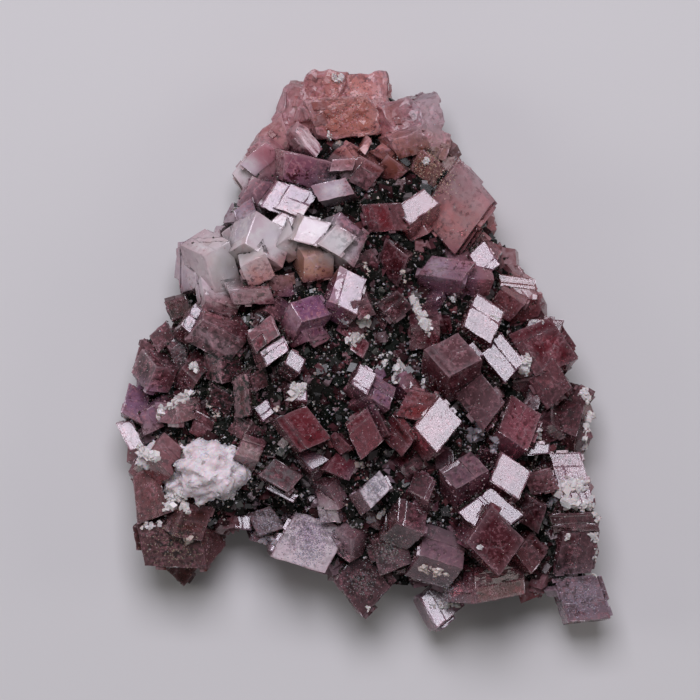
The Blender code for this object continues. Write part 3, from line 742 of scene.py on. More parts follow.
def point_field(shape):
    """For each vertex, how open it is, how near an edge and how grimy. The clear crown counts as open, so it
    gets little painted shade.
    """
    rim = shape.verts.layers.float["rim"]
    field = []
    for vert, dirt in zip(shape.verts, grime_at([v.co for v in shape.verts])):
        sky = openness(vert.co, vert.normal)
        field.append((sky if vert.co.y < CROWN_START * MM else 0.8 + 0.2 * sky, vert[rim], dirt, 1.0))
    return field


def tint_on_face(colour, shade, painted_sheen, lean):
    """A vertex's tint as one face shows it: in the face's shade, leaning to red or to blue, with a painted
    lilac sheen where the face tips the key light into the lens.
    """
    red, green, blue = (part * shade * (1 - painted_sheen) + sheen_lilac * painted_sheen for part, sheen_lilac in zip(colour, PAINTED_SHEEN_TINT))
    return [min(part, 0.98) for part in (red * (1 + lean), green, blue * (1 - 2 * lean))] + [1.0]


def paint(shape, ways, values, colours, gain):
    """The tint, the face's own values and its map in millimetres, for every corner of every face."""
    plane = shape.faces.layers.int["plane"]
    tint, own, where = [], [], []
    for face in shape.faces:
        normal, way, across, centre, _, _ = ways[face[plane]]
        value = values[face[plane]]
        # The painted sheen: a share of lilac on faces that tip the key light into the lens.
        painted_sheen = PAINTED_SHEEN_SHARE if flashes(normal) and value[1] < 1 else 0.0
        shade = (0.74 + 0.5 * value[0]) * (1 + 0.55 * noise.noise(centre / (6.5 * MM)))
        lean = 0.10 * noise.noise(centre / (8 * MM) + Vector((9, 0, 0)))
        for vert in face.verts:
            colour = colours[vert.index]
            clearness = min(max((colour[1] - 0.3) / 0.3, 0), 1)
            light = (shade + max(CLEAR_SHADE - shade, 0) * clearness) * gain
            tint.append(tint_on_face(colour, light, painted_sheen, lean))
            own.append((*value, 1.0))
            where.append((vert.co.dot(way) / MM, vert.co.dot(across) / MM))
    return tint, own, where


print("paint ready")

# %% The dressed copy
LONGEST_EDGE = 1.6
FINER_ROUNDS = 5


def dress(name, seed, gain):
    """A stepped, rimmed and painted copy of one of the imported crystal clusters, and its faces."""
    shape = flat_copy(name)
    steps = grow_steps(shape, seed)
    shape = rebuilt(shape)
    ways = [
        (f.normal.copy(), *face_ways(f), f.calc_center_median(), f.calc_area(), corners_of(f))
        for f in in_order(shape.faces)
    ]
    rimmed = rim_faces(shape)
    cut_finer(shape, LONGEST_EDGE, FINER_ROUNDS)
    shape.normal_update()
    values = own_values(ways, random.Random(seed + 50))
    field = point_field(shape)
    colours = tints_at([v.co for v in shape.verts])
    wear_edges(shape)
    wear_crown(shape)
    for vert in shape.verts:
        vert.co.z = max(vert.co.z, 0)
    rank = {f: k for k, f in enumerate(in_order(shape.faces))}
    shape.faces.sort(key=lambda f: rank[f])
    shape.verts.index_update()
    tint, own, where = paint(shape, ways, values, colours, gain)
    mesh = bpy.data.meshes.new(f"{name}_stepped")
    shape.to_mesh(mesh)
    open_edges = sum(1 for e in shape.edges if len(e.link_faces) != 2)
    shape.free()
    mesh.uv_layers.new(name="face_mm")
    store_colours(mesh, "tint", "CORNER", tint)
    store_colours(mesh, "own", "CORNER", own)
    store_colours(mesh, "field", "POINT", field)
    mesh.uv_layers["face_mm"].data.foreach_set("uv", np.asarray(where, dtype=np.float32).ravel())
    print(name, steps, "steps", rimmed, "rims", len(mesh.polygons), "faces", open_edges, "open edges")
    return mesh, ways


# %% [markdown]
# ## Growth relief
# Under the big steps lies a finer relief of terraces, each a few hundredths of a millimetre high.
# A stretched noise along the face map is cut into levels: its level parts become the terraces and
# the jumps between them the fine lines that catch the light.

# %% The terrace group
terrace, given, result = new_group("Terraces", "Height", Along=0.22, Across=0.7, Levels=7.0)
face_map = node(terrace, "ShaderNodeUVMap", {"uv_map": "face_mm"}).outputs["UV"]
stretch = node(terrace, "ShaderNodeCombineXYZ", X=given["Along"], Y=given["Across"], Z=1.0)
stretched = moved(terrace, "MULTIPLY", face_map, i1=stretch.outputs[0])
waves = node(terrace, "ShaderNodeTexNoise", Vector=stretched, Scale=1.0, Detail=1.0, Roughness=0.5)
levels = product(terrace, waves.outputs["Fac"], given["Levels"])
riser = ranged(terrace, reckon(terrace, "FRACT", levels), 0.78, smooth=True)
rise = reckon(terrace, "ADD", reckon(terrace, "FLOOR", levels), riser)
plug(terrace, result, reckon(terrace, "DIVIDE", rise, given["Levels"]))
print("terrace group:", len(terrace.nodes), "nodes")

# %% [markdown]
# ## Calcite
# Calcite is clear, but these crystals are full of red specks, veils and thin fractures, so only
# part of the light goes straight through. The Principled BSDF mixes transmission with a body
# colour. Pale veils and dark specks break up that colour, rims pale it as wear and painted glow,
# dark moss-like dust lies on it and painted shade darkens it in the hollows. The crust at the crown
# and the left is milkier than the rest, so it has its own mix.

# %% The calcite's body colour
def calcite_colour(tree):
    """The tint with veils, specks, cracks, pale rims of wear and painted glow, moss and painted shade. Also
    the moss and the patches.
    """
    tint = attribute(tree, "tint")
    open_share, rim, grime = parts_of(tree, attribute(tree, "field"))
    veils = placed(tree, cloud, Size_mm=2.6, Contrast=4.0)
    veil_grain = placed(tree, speckle, Grain_mm=0.62, Amount=0.49, Edge=0.06)
    patches = placed(tree, cloud, Size_mm=4.5, Contrast=4.5)
    specks = placed(tree, speckle, Grain_mm=0.8, Amount=0.49, Edge=0.08)
    veil_share = product(tree, veils, reckon(tree, "MULTIPLY_ADD", veil_grain, 0.85, 0.15), 0.78)
    body = mixed(tree, veil_share, tint, (0.72, 0.30, 0.35, 1))
    body = mixed(tree, product(tree, specks, patches), body, (0.24, 0.10, 0.11, 1), "MULTIPLY")
    clearness = ranged(tree, parts_of(tree, tint)[1], 0.35, 0.7)
    frost = mixed(tree, product(tree, patches, 0.30), tint, (0.78, 0.52, 0.60, 1))
    frost = mixed(tree, veils, frost, (0.99, 0.92, 0.92, 1))
    body = mixed(tree, clearness, body, frost)
    cracks = placed(tree, fracture, Size_mm=4.2, Width=0.035)
    body = mixed(tree, product(tree, cracks, 0.3, veils), body, (0.90, 0.72, 0.76, 1))
    # Pale rims where the crystal is open: partly wear, partly a painted glow of light through the edges.
    rim_wear_and_painted_glow = product(tree, rim, product(tree, open_share, open_share), 0.42)
    body = mixed(tree, rim_wear_and_painted_glow, body, (0.84, 0.58, 0.63, 1))
    moss = product(tree, placed(tree, speckle, Grain_mm=0.9, Amount=0.53, Edge=0.12), grime)
    body = mixed(tree, moss, body, (0.012, 0.011, 0.008, 1))
    # Painted shade: the colour is darkened where a vertex sees little of the sky.
    painted_shade = ranged(tree, open_share, 0.1, 0.85, 0.16)
    return mixed(tree, 1.0, body, grey(tree, painted_shade), "MULTIPLY"), moss, patches


print("calcite colour ready")

# %% The calcite's surface and absorption
def calcite_material(name, transmission, absorbed, density):
    """A calcite with its own clearness. The absorption tints what shines right through it."""
    material, tree, shader = new_material(name, Transmission_Weight=transmission, IOR=1.6, Roughness=0.16)
    colour, moss, patches = calcite_colour(tree)
    _, own_rough, own_pits = parts_of(tree, attribute(tree, "own"))
    pits = placed(tree, speckle, Grain_mm=0.9, Amount=0.38, Edge=0.05)
    pits = product(tree, pits, ranged(tree, own_pits, 0.45, 1.0, 0.0, 0.8), patches)
    rough = ranged(tree, own_rough, 0.0, 1.0, 0.08, 0.22, clamp=False)
    rough = reckon(tree, "MULTIPLY_ADD", pits, 0.4, rough)
    rough = reckon(tree, "MULTIPLY_ADD", moss, 0.2, rough, clamp=True)
    terraces = placed(tree, terrace, Along=0.05, Across=0.5, Levels=4.0)
    height = reckon(tree, "MULTIPLY_ADD", pits, -0.12, terraces)
    feed(tree, shader, Base_Color=colour, Roughness=rough, Normal=relief(tree, height, 0.10, 0.0003))
    absorb = node(tree, "ShaderNodeVolumeAbsorption", Color=absorbed, Density=density)
    tree.links.new(absorb.outputs["Volume"], tree.nodes["Material Output"].inputs["Volume"])
    print(name, len(tree.nodes), "nodes")
    return material


milky_crust = calcite_material("rosy_calcite", 0.36, (0.82, 0.52, 0.54, 1), 80.0)
clear_crust = calcite_material("purple_calcite", 0.62, (0.78, 0.42, 0.46, 1), 110.0)

# %% Dress every cluster
MILKY_GAIN = 1.02
CLEAR_GAIN = 1.15


def add_piece(name, mesh, replaced=None):
    """Puts a mesh in the scene as a piece that rides with the specimen."""
    piece = bpy.data.objects.new(name, mesh)
    bpy.context.scene.collection.objects.link(piece)
    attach(piece, "root")
    if replaced:
        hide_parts(replaced)
    return piece


crystal_pieces = []
crystal_faces = []
for number, name in enumerate(crystal_nodes):
    main = name == "calcite_crystals"
    mesh, ways = dress(name, number, MILKY_GAIN if main else CLEAR_GAIN)
    mesh.materials.append(milky_crust if main else clear_crust)
    crystal_pieces.append(add_piece(f"{name}_stepped", mesh, name))
    crystal_faces += ways
print(len(crystal_faces), "faces on", len(crystal_pieces), "clusters")

# %% [markdown]
# ## The rock
# The crystals grew on a dark, greenish rock that shows as deep hollows between them. A finely
# cut copy of the rock solid is pushed in and out by noise, while its sawn back stays flat.

# %% The rock's mesh
SAWN_BACK = 0.3


def fine_copy(name, longest, rounds):
    """The node's mesh, cut finer."""
    shape = joined_copy(name)
    cut_finer(shape, longest, rounds)
    shape.normal_update()
    return shape


def filled_mesh(name, shape):
    """A mesh made from a shape, which is freed."""
    mesh = bpy.data.meshes.new(name)
    shape.to_mesh(mesh)
    shape.free()
    return mesh


rock_shape = fine_copy("matrix", 1.3, 5)
for vert in rock_shape.verts:
    if vert.co.z < SAWN_BACK * MM:
        continue
    swell = noise.fractal(vert.co / MM / 2.4, 1.0, 2.0, 3) * 0.45 - 0.30
    vert.co += vert.normal * swell * MM
rock_mesh = filled_mesh("druse_rock", rock_shape)
rock = add_piece("druse_rock", rock_mesh, "matrix")
print("rock:", len(rock_mesh.polygons), "faces")

# %% The rock's material
rock_material, tree, shader = new_material("dark_rock", Roughness=0.6)
rock_grain = placed(tree, speckle, Grain_mm=0.5, Amount=0.40, Edge=0.06)
green_or_brown = placed(tree, cloud, Size_mm=2.5, Contrast=3.0)
rock_colour = mixed(tree, green_or_brown, (0.004, 0.005, 0.004, 1), (0.016, 0.009, 0.008, 1))
rock_colour = mixed(tree, rock_grain, rock_colour, (0.11, 0.10, 0.085, 1))
feed(tree, shader, Base_Color=rock_colour, Normal=relief(tree, rock_grain, 0.5, 0.0003))
rock_mesh.materials.append(rock_material)
print("rock material:", len(tree.nodes), "nodes")

# %% [markdown]
# ## Small crystals
# The hollows are lined with druse: thousands of crystals of up to two millimetres. They are the
# same rhombohedra as the big ones, joined in one mesh. A heap gathers the corners and faces of
# such small solids, and points scattered over a mesh say where they stand.

# %% Rhombohedra in one mesh
EDGE_LEAN = math.cos(math.radians(102))
SQUARE = ((-1, -1), (1, -1), (1, 1), (-1, 1))
RHOMB_SIGNS = [(i, j, k) for k in (-1, 1) for i, j in SQUARE]
RHOMB_FACES = [(3, 2, 1, 0), (4, 5, 6, 7), (0, 1, 5, 4), (1, 2, 6, 5), (2, 3, 7, 6), (3, 0, 4, 7)]


def rhomb_axes(normal, chance, lean):
    """Three edge directions at calcite's angles, with the first face turned to the normal."""
    spin = Matrix.Rotation(chance.uniform(0, 2 * math.pi), 3, "Z")
    a = Vector((1, 0, 0))
    b = Vector((EDGE_LEAN, math.sqrt(1 - EDGE_LEAN**2), 0))
    c = (a + b) * (EDGE_LEAN / (1 + EDGE_LEAN))
    c = c + Vector((0, 0, math.sqrt(1 - c.length_squared)))
    tip = Matrix.Rotation(chance.uniform(-lean, lean), 3, "X")
    tip = tip @ Matrix.Rotation(chance.uniform(-lean, lean), 3, "Y")
    turn = normal.to_track_quat("Z", "Y").to_matrix() @ tip @ spin
    return [turn @ axis for axis in (a, b, c)]


def dimmed(colour, shade):
    return [part * shade for part in colour]


class Heap:
    """Gathers small closed solids, each with its colour, for one joined mesh."""

    def __init__(self):
        self.points = []
        self.faces = []
        self.colours = []

    def add(self, points, faces, colours):
        first = len(self.points)
        self.points += [(p.x, p.y, max(p.z, 0)) for p in points]
        self.faces += [tuple(first + k for k in face) for face in faces]
        self.colours += colours

    def rhomb(self, middle, axes, sizes, colour, chance):
        """Adds a rhombohedron, lifted where it would reach below the table."""
        a, b, c = (axis * size / 2 for axis, size in zip(axes, sizes))
        low = min(0.0, *((middle + a * i + b * j + c * k).z for i, j, k in RHOMB_SIGNS))
        middle = middle - Vector((0, 0, low))
        points = [middle + a * i + b * j + c * k for i, j, k in RHOMB_SIGNS]
        shades = [chance.uniform(0.75, 1.25) for _ in RHOMB_FACES]
        self.add(points, RHOMB_FACES, [[min(shade * part, 0.97) for part in colour] for shade in shades])

    def make(self, name, material):
        mesh = bpy.data.meshes.new(name)
        mesh.from_pydata(self.points, [], self.faces)
        corners = [(*c, 1.0) for face, c in zip(self.faces, self.colours) for _ in face]
        store_colours(mesh, "tint", "CORNER", corners)
        mesh.materials.append(material)
        print(name, len(self.faces), "faces")
        return add_piece(name, mesh)


def scattered(mesh, count, chance):
    """Points all over a mesh, as many on each face as its area asks for, with the normals."""
    total = sum(f.area for f in mesh.polygons)
    found = []
    owed = chance.random()
    for face in mesh.polygons:
        owed += face.area / total * count
        corners = [mesh.vertices[v].co for v in face.vertices] if owed >= 1 else None
        while owed >= 1:
            owed -= 1
            k = chance.randrange(1, len(corners) - 1)
            u, v = sorted((chance.random(), chance.random()))
            spot = corners[0] * u + corners[k] * (v - u) + corners[k + 1] * (1 - v)
            found.append((spot, face.normal.copy()))
    return found


crust_tree = tree_of(crystal_pieces)


def crust_over(spot, way, start=0.0, room=None):
    """Whether the crystals' crust lies over a spot, within a room in millimetres if one is given."""
    reach = [] if room is None else [room * MM]
    return crust_tree.ray_cast(spot + way * start * MM, way, *reach)[0] is not None


def hidden_on_rock(spot, normal, room):
    """Whether crystals cover a spot of the rock, right over it or as seen from above."""
    return crust_over(spot, normal, 0.05, room) or (normal.z > 0.5 and crust_over(spot, UP))


print("scatter helpers ready")

# %% Druse on the rock
DRUSE_TRIES = 70000
MOST_DRUSE = 15500
DRUSE_TINTS = [
    (0.006, 0.008, 0.006), (0.013, 0.012, 0.010), (0.035, 0.012, 0.014), (0.08, 0.024, 0.03),
    (0.15, 0.05, 0.055), (0.13, 0.11, 0.11),
]
DRUSE_SHARES = [44, 28, 14, 7, 3, 4]
chance = random.Random(21)
druse = Heap()
for spot, normal in scattered(rock_mesh, DRUSE_TRIES, chance):
    if len(druse.faces) > MOST_DRUSE * len(RHOMB_FACES) or spot.z < 1.2 * MM or normal.z < -0.35:
        continue
    if hidden_on_rock(spot, normal, 0.8):
        continue
    size = (0.35 + 1.4 * chance.random() ** 3.5) * MM
    colour = chance.choices(DRUSE_TINTS, DRUSE_SHARES)[0]
    axes = rhomb_axes(normal, chance, 0.9)
    sizes = [size * chance.uniform(0.7, 1.25) for _ in range(3)]
    druse.rhomb(spot + normal * size * 0.15, axes, sizes, colour, chance)

druse_material, tree, shader = new_material("druse", Roughness=0.26, IOR=1.45)
druse_dust = placed(tree, speckle, Grain_mm=0.35, Amount=0.36, Edge=0.05)
druse_colour = mixed(tree, product(tree, druse_dust, 0.6), attribute(tree, "tint"), (0.24, 0.20, 0.18, 1))
druse_rough = reckon(tree, "MULTIPLY_ADD", druse_dust, 0.4, 0.16)
feed(tree, shader, Base_Color=druse_colour, Roughness=druse_rough)
druse_piece = druse.make("druse_lining", druse_material)

# %% [markdown]
# ## Fine druse grains
# Between the druse crystals lie grains of half a millimetre and less, too small to show their
# faces. Each is an octahedron with uneven arms. They fill the hollows of the rock and the
# deepest corners between the crystals.

# %% Fine druse grains
CRUMB_FACES = [(0, 2, 4), (2, 1, 4), (1, 3, 4), (3, 0, 4), (2, 0, 5), (1, 2, 5), (3, 1, 5), (0, 3, 5)]
CRUMB_ARMS = [Vector(way) for way in ((1, 0, 0), (-1, 0, 0), (0, 1, 0), (0, -1, 0), (0, 0, 1), (0, 0, -1))]
MOST_GRAINS = 23000
GRAIN_TINTS = [
    (0.008, 0.010, 0.007), (0.035, 0.040, 0.027), (0.075, 0.07, 0.06), (0.10, 0.03, 0.035),
    (0.18, 0.15, 0.15), (0.38, 0.32, 0.32),
]
GRAIN_SHARES = [22, 28, 20, 10, 14, 6]


def crumb(chance, middle, size):
    """The corners of a grain."""
    return [middle + way * size * chance.uniform(0.5, 1.3) for way in CRUMB_ARMS]


def add_crumb(heap, points, colour):
    heap.add(points, CRUMB_FACES, [colour] * len(CRUMB_FACES))


def in_a_corner(spot, normal):
    """Whether a spot on the crystals is so shut in that dark grains gather there."""
    deepest = 0.2 + 0.35 * noise.noise(spot / (3 * MM)) + 0.2 * grime_at([spot])[0]
    return openness(spot, normal) <= deepest


chance = random.Random(5)
grains = Heap()
grain_sources = [(rock_mesh, 60000, False)]
grain_sources += [(p.data, int(900 + len(p.data.polygons) * 0.6), True) for p in crystal_pieces]
for mesh, count, on_crystals in grain_sources:
    for spot, normal in scattered(mesh, count, chance):
        if normal.z < -0.1 or spot.z < 2 * MM or len(grains.faces) > MOST_GRAINS * len(CRUMB_FACES):
            continue
        if crust_over(spot, UP, 0.3):
            continue
        if on_crystals and (spot.y > 33 * MM or not in_a_corner(spot, normal)):
            continue
        size = (0.10 + 0.26 * chance.random() ** 2) * MM
        colour = chance.choices(GRAIN_TINTS, GRAIN_SHARES)[0]
        shade = chance.uniform(0.7, 1.3)
        add_crumb(grains, crumb(chance, spot + normal * 0.1 * MM, size), dimmed(colour, shade))
grains.make("druse_grains", druse_material)

# %% [markdown]
# ## Middling crystals
# Between the druse and the big crystals stand purple ones of one to four millimetres, in the
# hollows and all round the flanks. Their calcite is the same, with its own small material.

# %% Middling crystals
small_material, tree, shader = new_material("small_calcite", Transmission_Weight=0.2, IOR=1.6, Roughness=0.2)
small_veils = placed(tree, cloud, Size_mm=1.4, Contrast=4.0)
small_grain = placed(tree, speckle, Grain_mm=0.4, Amount=0.46, Edge=0.1)
small_colour = mixed(tree, product(tree, small_veils, 0.3), attribute(tree, "tint"), (0.75, 0.56, 0.60, 1))
small_colour = mixed(tree, small_grain, small_colour, (0.5, 0.3, 0.32, 1), "MULTIPLY")
small_rough = reckon(tree, "MULTIPLY_ADD", small_grain, 0.3, 0.14)
small_relief = relief(tree, small_grain, 0.2, 0.0002)
feed(tree, shader, Base_Color=small_colour, Roughness=small_rough, Normal=small_relief)

FLANK_TOP = 12
chance = random.Random(8)
middling = Heap()
for spot, normal in scattered(rock_mesh, 2600, chance):
    if spot.z < 1.6 * MM or normal.z < -0.2 or hidden_on_rock(spot, normal, 1.4):
        continue
    on_flank = normal.z < 0.6 and spot.z < FLANK_TOP * MM
    if not on_flank and chance.random() < 0.5:
        continue
    size = (chance.uniform(1.8, 3.8) if on_flank else chance.uniform(0.8, 2.0)) * MM
    shade = chance.uniform(0.55, 1.0) if on_flank else chance.uniform(0.15, 0.75)
    middle = spot + normal * size * 0.15
    middle.z = max(middle.z, size * 0.9)
    sizes = [size * chance.uniform(0.75, 1.15) for _ in range(3)]
    axes = rhomb_axes(normal, chance, 0.7)
    middling.rhomb(middle, axes, sizes, dimmed(tints_at([spot])[0], shade), chance)
middling_piece = middling.make("middling_crystals", small_material)

# %% [markdown]
# ## Growth plates
# On the crown, small plates of newer calcite lie in step with the crystal below. They are thin
# slabs along the face's own edges, sunk so deep that only a tenth to four tenths of a millimetre
# stands out.

# %% Plates on the crown
PLATES_FROM = 36
PLATE_RISE = (0.09, 0.39)
PLATE_SUNK = 0.4
chance = random.Random(17)
plates = Heap()
for normal, way, across, middle, area, _ in crystal_faces:
    area /= MM**2
    if area < 7 or normal.z < -0.2 or middle.y < PLATES_FROM * MM:
        continue
    count = int(area / 12 + chance.random())
    reach = math.sqrt(area) * MM * 0.42
    for _ in range(count):
        spot = middle + way * chance.uniform(-1, 1) * reach + across * chance.uniform(-1, 1) * reach
        near, near_normal, _, gap = crust_tree.find_nearest(spot)
        if near is None or gap > 0.4 * MM or near_normal.dot(normal) < 0.98:
            continue
        length = chance.uniform(0.8, 2.8) * MM
        width = chance.uniform(0.7, 2.0) * MM
        rise = chance.uniform(*PLATE_RISE) * MM
        lean = (across + way * EDGE_LEAN).normalized()
        colour = dimmed(tints_at([near])[0], chance.uniform(0.6, 0.8))
        sizes = (length, width, rise + PLATE_SUNK * MM)
        spot = near + normal * (rise / 2 - PLATE_SUNK / 2 * MM)
        plates.rhomb(spot, (way, lean, normal), sizes, colour, chance)
print("plates on faces:", len(plates.faces) // len(RHOMB_FACES))

# %% [markdown]
# ## Blocks along the edges
# Small blocks in step with a crystal break its outline: they stick out over its edges, mostly
# near the corners, with their tops a little below its face. A ray looks for the next face first,
# so a block sits only where its side of the edge is free.

# %% Blocks along the edges
EDGE_SHARE = 0.5
SHORTEST_EDGE = 2.5
chance = random.Random(29)
for normal, _, _, middle, area, corners in crystal_faces:
    if area < 8 * MM**2 or normal.z < 0.15 or middle.y > PLATES_FROM * MM:
        continue
    for k, start in enumerate(corners):
        edge = corners[(k + 1) % len(corners)] - start
        if edge.length < SHORTEST_EDGE * MM or chance.random() > EDGE_SHARE:
            continue
        along = edge.normalized()
        out = along.cross(normal)
        out = out if out.dot(start - middle) > 0 else -out
        if out.z > 0.15:
            continue
        for _ in range(chance.choice((1, 1, 2))):
            length = min(chance.uniform(0.7, 2.2) * MM, 0.5 * edge.length)
            share = length / 2 / edge.length + chance.random() ** 2 * 0.4
            share = share if chance.random() < 0.5 else 1 - share
            width, height = chance.uniform(0.5, 1.3) * MM, chance.uniform(0.7, 2.0) * MM
            beside = start + edge * share + out * 0.35 * MM + normal * 0.3 * MM
            if crust_tree.ray_cast(beside, -normal, 1.1 * MM)[0] is not None:
                continue
            block = start + edge * share + out * chance.uniform(0.0, 0.15) * MM
            block -= normal * (height / 2 + chance.uniform(0.03, 0.5) * MM)
            shade = chance.uniform(0.45, 0.85)
            colour = dimmed(tints_at([block])[0], shade)
            plates.rhomb(block, (along, out, normal), (length, width, height), colour, chance)
plates.make("growth_plates", small_material)

# %% [markdown]
# ## The milky mass
# At the lower left the calcite is white and milky, like snow with a fibrous grain. The lumpy
# solid is cut fine, and folds along its length are pushed in and out on its own normals.

# %% The milky mass
def swollen(point):
    """How far a point of the milky mass is pushed out, in millimetres."""
    x, y, z = point
    folds = noise.noise(Vector((x * 0.28 + y * 0.16, y * 0.5 - x * 0.22, z * 0.4)))
    lumps = noise.fractal(point / 4.0, 1.0, 2.0, 2)
    fibres = noise.fractal(Vector((x * 0.3 + y * 0.3, (y - x) * 0.9, z * 0.8)), 0.7, 2.1, 3)
    return folds * 1.2 + lumps * 0.7 + fibres * 0.35 - 0.2


milky_shape = fine_copy("milky_calcite", 0.42, 5)
for vert in milky_shape.verts:
    vert.co += vert.normal * swollen(vert.co / MM) * MM
milky_mesh = filled_mesh("milky_mass", milky_shape)
milky_mesh.shade_smooth()
milky = add_piece("milky_mass", milky_mesh, "milky_calcite")

milky_material, tree, shader = new_material(
    "milky_white", Roughness=0.45, IOR=1.6, Subsurface_Weight=0.3, Subsurface_Scale=0.002,
)
milky_share = product(tree, placed(tree, cloud, Size_mm=2.2, Contrast=3.0), 0.7)
milky_grain = placed(tree, speckle, Grain_mm=0.3, Amount=0.5, Edge=0.25)
milky_colour = mixed(tree, milky_share, (0.84, 0.76, 0.77, 1), (0.66, 0.50, 0.54, 1))
feed(tree, shader, Base_Color=milky_colour, Normal=relief(tree, milky_grain, 0.18, 0.0002))
milky_mesh.materials.append(milky_material)
print("milky mass:", len(milky_mesh.polygons), "faces")

# %% [markdown]
# ## Flakes on the milky mass
# The fibres of the milky mass end in thin flakes that lie along its grain. Each is a flat slab on
# the surface, tipped a little and as white as the mass.

# %% Flakes on the milky mass
FLAKE_GRAIN = Vector((0.75, -0.6, -0.1)).normalized()
FLAKE_TRIES = 420
chance = random.Random(12)
flakes = Heap()
for spot, normal in scattered(milky_mesh, FLAKE_TRIES, chance):
    if spot.z < 6 * MM:
        continue
    along = (FLAKE_GRAIN - normal * FLAKE_GRAIN.dot(normal)).normalized()
    along = (along + Vector([chance.gauss(0, 0.35) for _ in range(3)])).normalized()
    across = normal.cross(along).normalized()
    length = chance.uniform(0.4, 1.3) * MM
    shade = chance.uniform(0.66, 0.80)
    colour = (shade, shade * 0.90, shade * 0.93)
    tipped = (normal + along * chance.uniform(-0.3, 0.3)).normalized()
    sizes = (length, length * chance.uniform(0.25, 0.5), chance.uniform(0.12, 0.26) * MM)
    flakes.rhomb(spot - normal * 0.03 * MM, (along, across, tipped), sizes, colour, chance)
print(len(flakes.faces) // len(RHOMB_FACES), "flakes")

# %% [markdown]
# ## Dolomite
# White dolomite came last, as grains and small curved clumps on top of the calcite. Each clump is
# a handful of chips and little rhombohedra around a line on the front view. Each chip is let down
# from above until it meets the specimen.

# %% Dolomite clumps
WHITE = (0.80, 0.71, 0.69)
CREAM = (0.68, 0.55, 0.50)
TAN = (0.60, 0.42, 0.33)
GREYISH = (0.46, 0.40, 0.43)

# Each clump: start and end on the front view, width in millimetres, tint.
CLUMPS = [
    (-4.3, 48.8, -3.7, 48.8, 1.4, WHITE), (5.5, 46.5, 5.8, 46.4, 0.8, WHITE),
    (-6, 38.3, -5.6, 38.1, 1.0, WHITE), (-4.5, 37.2, -4.1, 37.2, 0.9, CREAM),
    (-36.3, -11.3, -30.7, -8, 1.5, WHITE), (-30.4, -3.4, -29.6, -3, 1.6, WHITE),
    (-11.9, -7.6, -10.7, -6.8, 2.4, WHITE), (-15.6, -10.8, -15, -10.6, 1.0, CREAM),
    (-38.9, -31.8, -36.5, -31.5, 1.1, WHITE), (-31.4, -34.4, -30.6, -34.2, 1.3, CREAM),
    (0.2, 4.6, 0.8, 5, 1.5, WHITE), (-2.2, 1.6, -0.9, 2.1, 2.0, WHITE),
    (2.5, -1.7, 5.4, -0.4, 0.6, WHITE), (3.9, -2.8, 4.2, -2.5, 1.0, WHITE),
    (6.3, -5.4, 6.9, -2.4, 1.5, WHITE), (10.9, -7, 11.2, -5, 0.8, WHITE),
    (29.1, -4.2, 29.6, -1.7, 1.8, WHITE), (31.6, -16, 32, -14.5, 1.1, WHITE),
    (30.6, 4.9, 32.8, 4.7, 0.6, WHITE), (9.0, 8.6, 12.2, 3.2, 1.6, WHITE), (16.2, 9, 16.8, 9, 1.2, WHITE),
    (20, -15.4, 21.6, -14.6, 1.9, GREYISH), (23.5, -18.4, 24, -15.8, 1.3, GREYISH),
    (10.4, -39, 15, -40.4, 1.3, CREAM), (3.3, -29.5, 3.8, -29.5, 1.0, WHITE),
    (1.4, -30.6, 2, -30.6, 1.1, GREYISH), (20.8, -35.4, 21.3, -35.2, 0.9, WHITE),
    (36.7, -33.8, 37.3, -33.8, 1.0, WHITE), (11.5, 33.4, 11.9, 34.6, 1.0, WHITE),
    (7.3, 29.6, 7.7, 30.4, 0.9, CREAM), (1.2, -46.6, 3.2, -48.2, 1.3, WHITE),
    (39.6, -7.4, 42.2, -10.4, 1.5, WHITE), (42, -10.4, 40.6, -15, 1.3, WHITE),
    (40.4, -15, 40.4, -19, 1.0, WHITE), (36, -24.6, 40.6, -24.4, 2.0, WHITE),
    (36.4, -27.6, 40.8, -28, 1.7, WHITE), (41.4, -20, 41.6, -28.4, 1.1, WHITE),
    (41.8, -29.4, 43, -31, 1.2, WHITE), (41.6, -33.4, 42.8, -34.8, 1.1, WHITE),
    (42.2, -36, 42.2, -41, 0.9, WHITE), (-34, -26, -35, -28.8, 1.5, WHITE),
    (-32.8, -25.5, -31.6, -29, 1.5, WHITE), (-40, -17.8, -37, -19.6, 1.6, WHITE),
    (12.4, -46.4, 17.4, -46.4, 1.1, WHITE), (-17.8, -34.4, -15.6, -34.2, 1.2, GREYISH),
    (-28.5, -8.8, -25.5, -12.5, 0.8, CREAM), (-0.6, -20.5, 0.4, -21, 1.0, CREAM),
    (7.2, 14, 7.6, 12, 0.8, CREAM), (23.2, 6, 24.4, 5.2, 0.6, WHITE), (33.5, -28, 35, -27, 1.0, GREYISH),
    (16.3, 36.5, 13.8, 29.5, 0.6, TAN), (13.8, 29.5, 11.3, 22.5, 0.5, TAN),
    (0.2, 16, 1.4, 13.4, 0.7, CREAM), (-3.5, 5.2, -2.6, 4.4, 0.9, GREYISH),
]
print(len(CLUMPS), "clumps")

# %% Chips let down on the specimen
SHARD_CORNERS = 11
SPREAD = 0.24
WIDEST = 1.7
ABOVE_ALL = 0.1


def shard(heap, middle, sizes, axes, colour, chance):
    """A chip with flat sides: the hull of points thrown about in a flattened ball."""
    hull = bmesh.new()
    for _ in range(SHARD_CORNERS):
        way = Vector([chance.gauss(0, 1) for _ in range(3)]).normalized() * chance.uniform(0.75, 1.0) / 2
        arms = (axis * size * part for axis, size, part in zip(axes, sizes, way))
        hull.verts.new(middle + sum(arms, Vector()))
    found = bmesh.ops.convex_hull(hull, input=hull.verts)
    loose = {g for g in found["geom_interior"] + found["geom_unused"] if isinstance(g, bmesh.types.BMVert)}
    bmesh.ops.delete(hull, geom=list(loose), context="VERTS")
    hull.verts.index_update()
    faces = [tuple(v.index for v in f.verts) for f in hull.faces]
    shades = [chance.uniform(0.9, 1.08) for _ in faces]
    heap.add([v.co.copy() for v in hull.verts], faces, [[min(c * k, 0.95) for c in colour] for k in shades])
    hull.free()


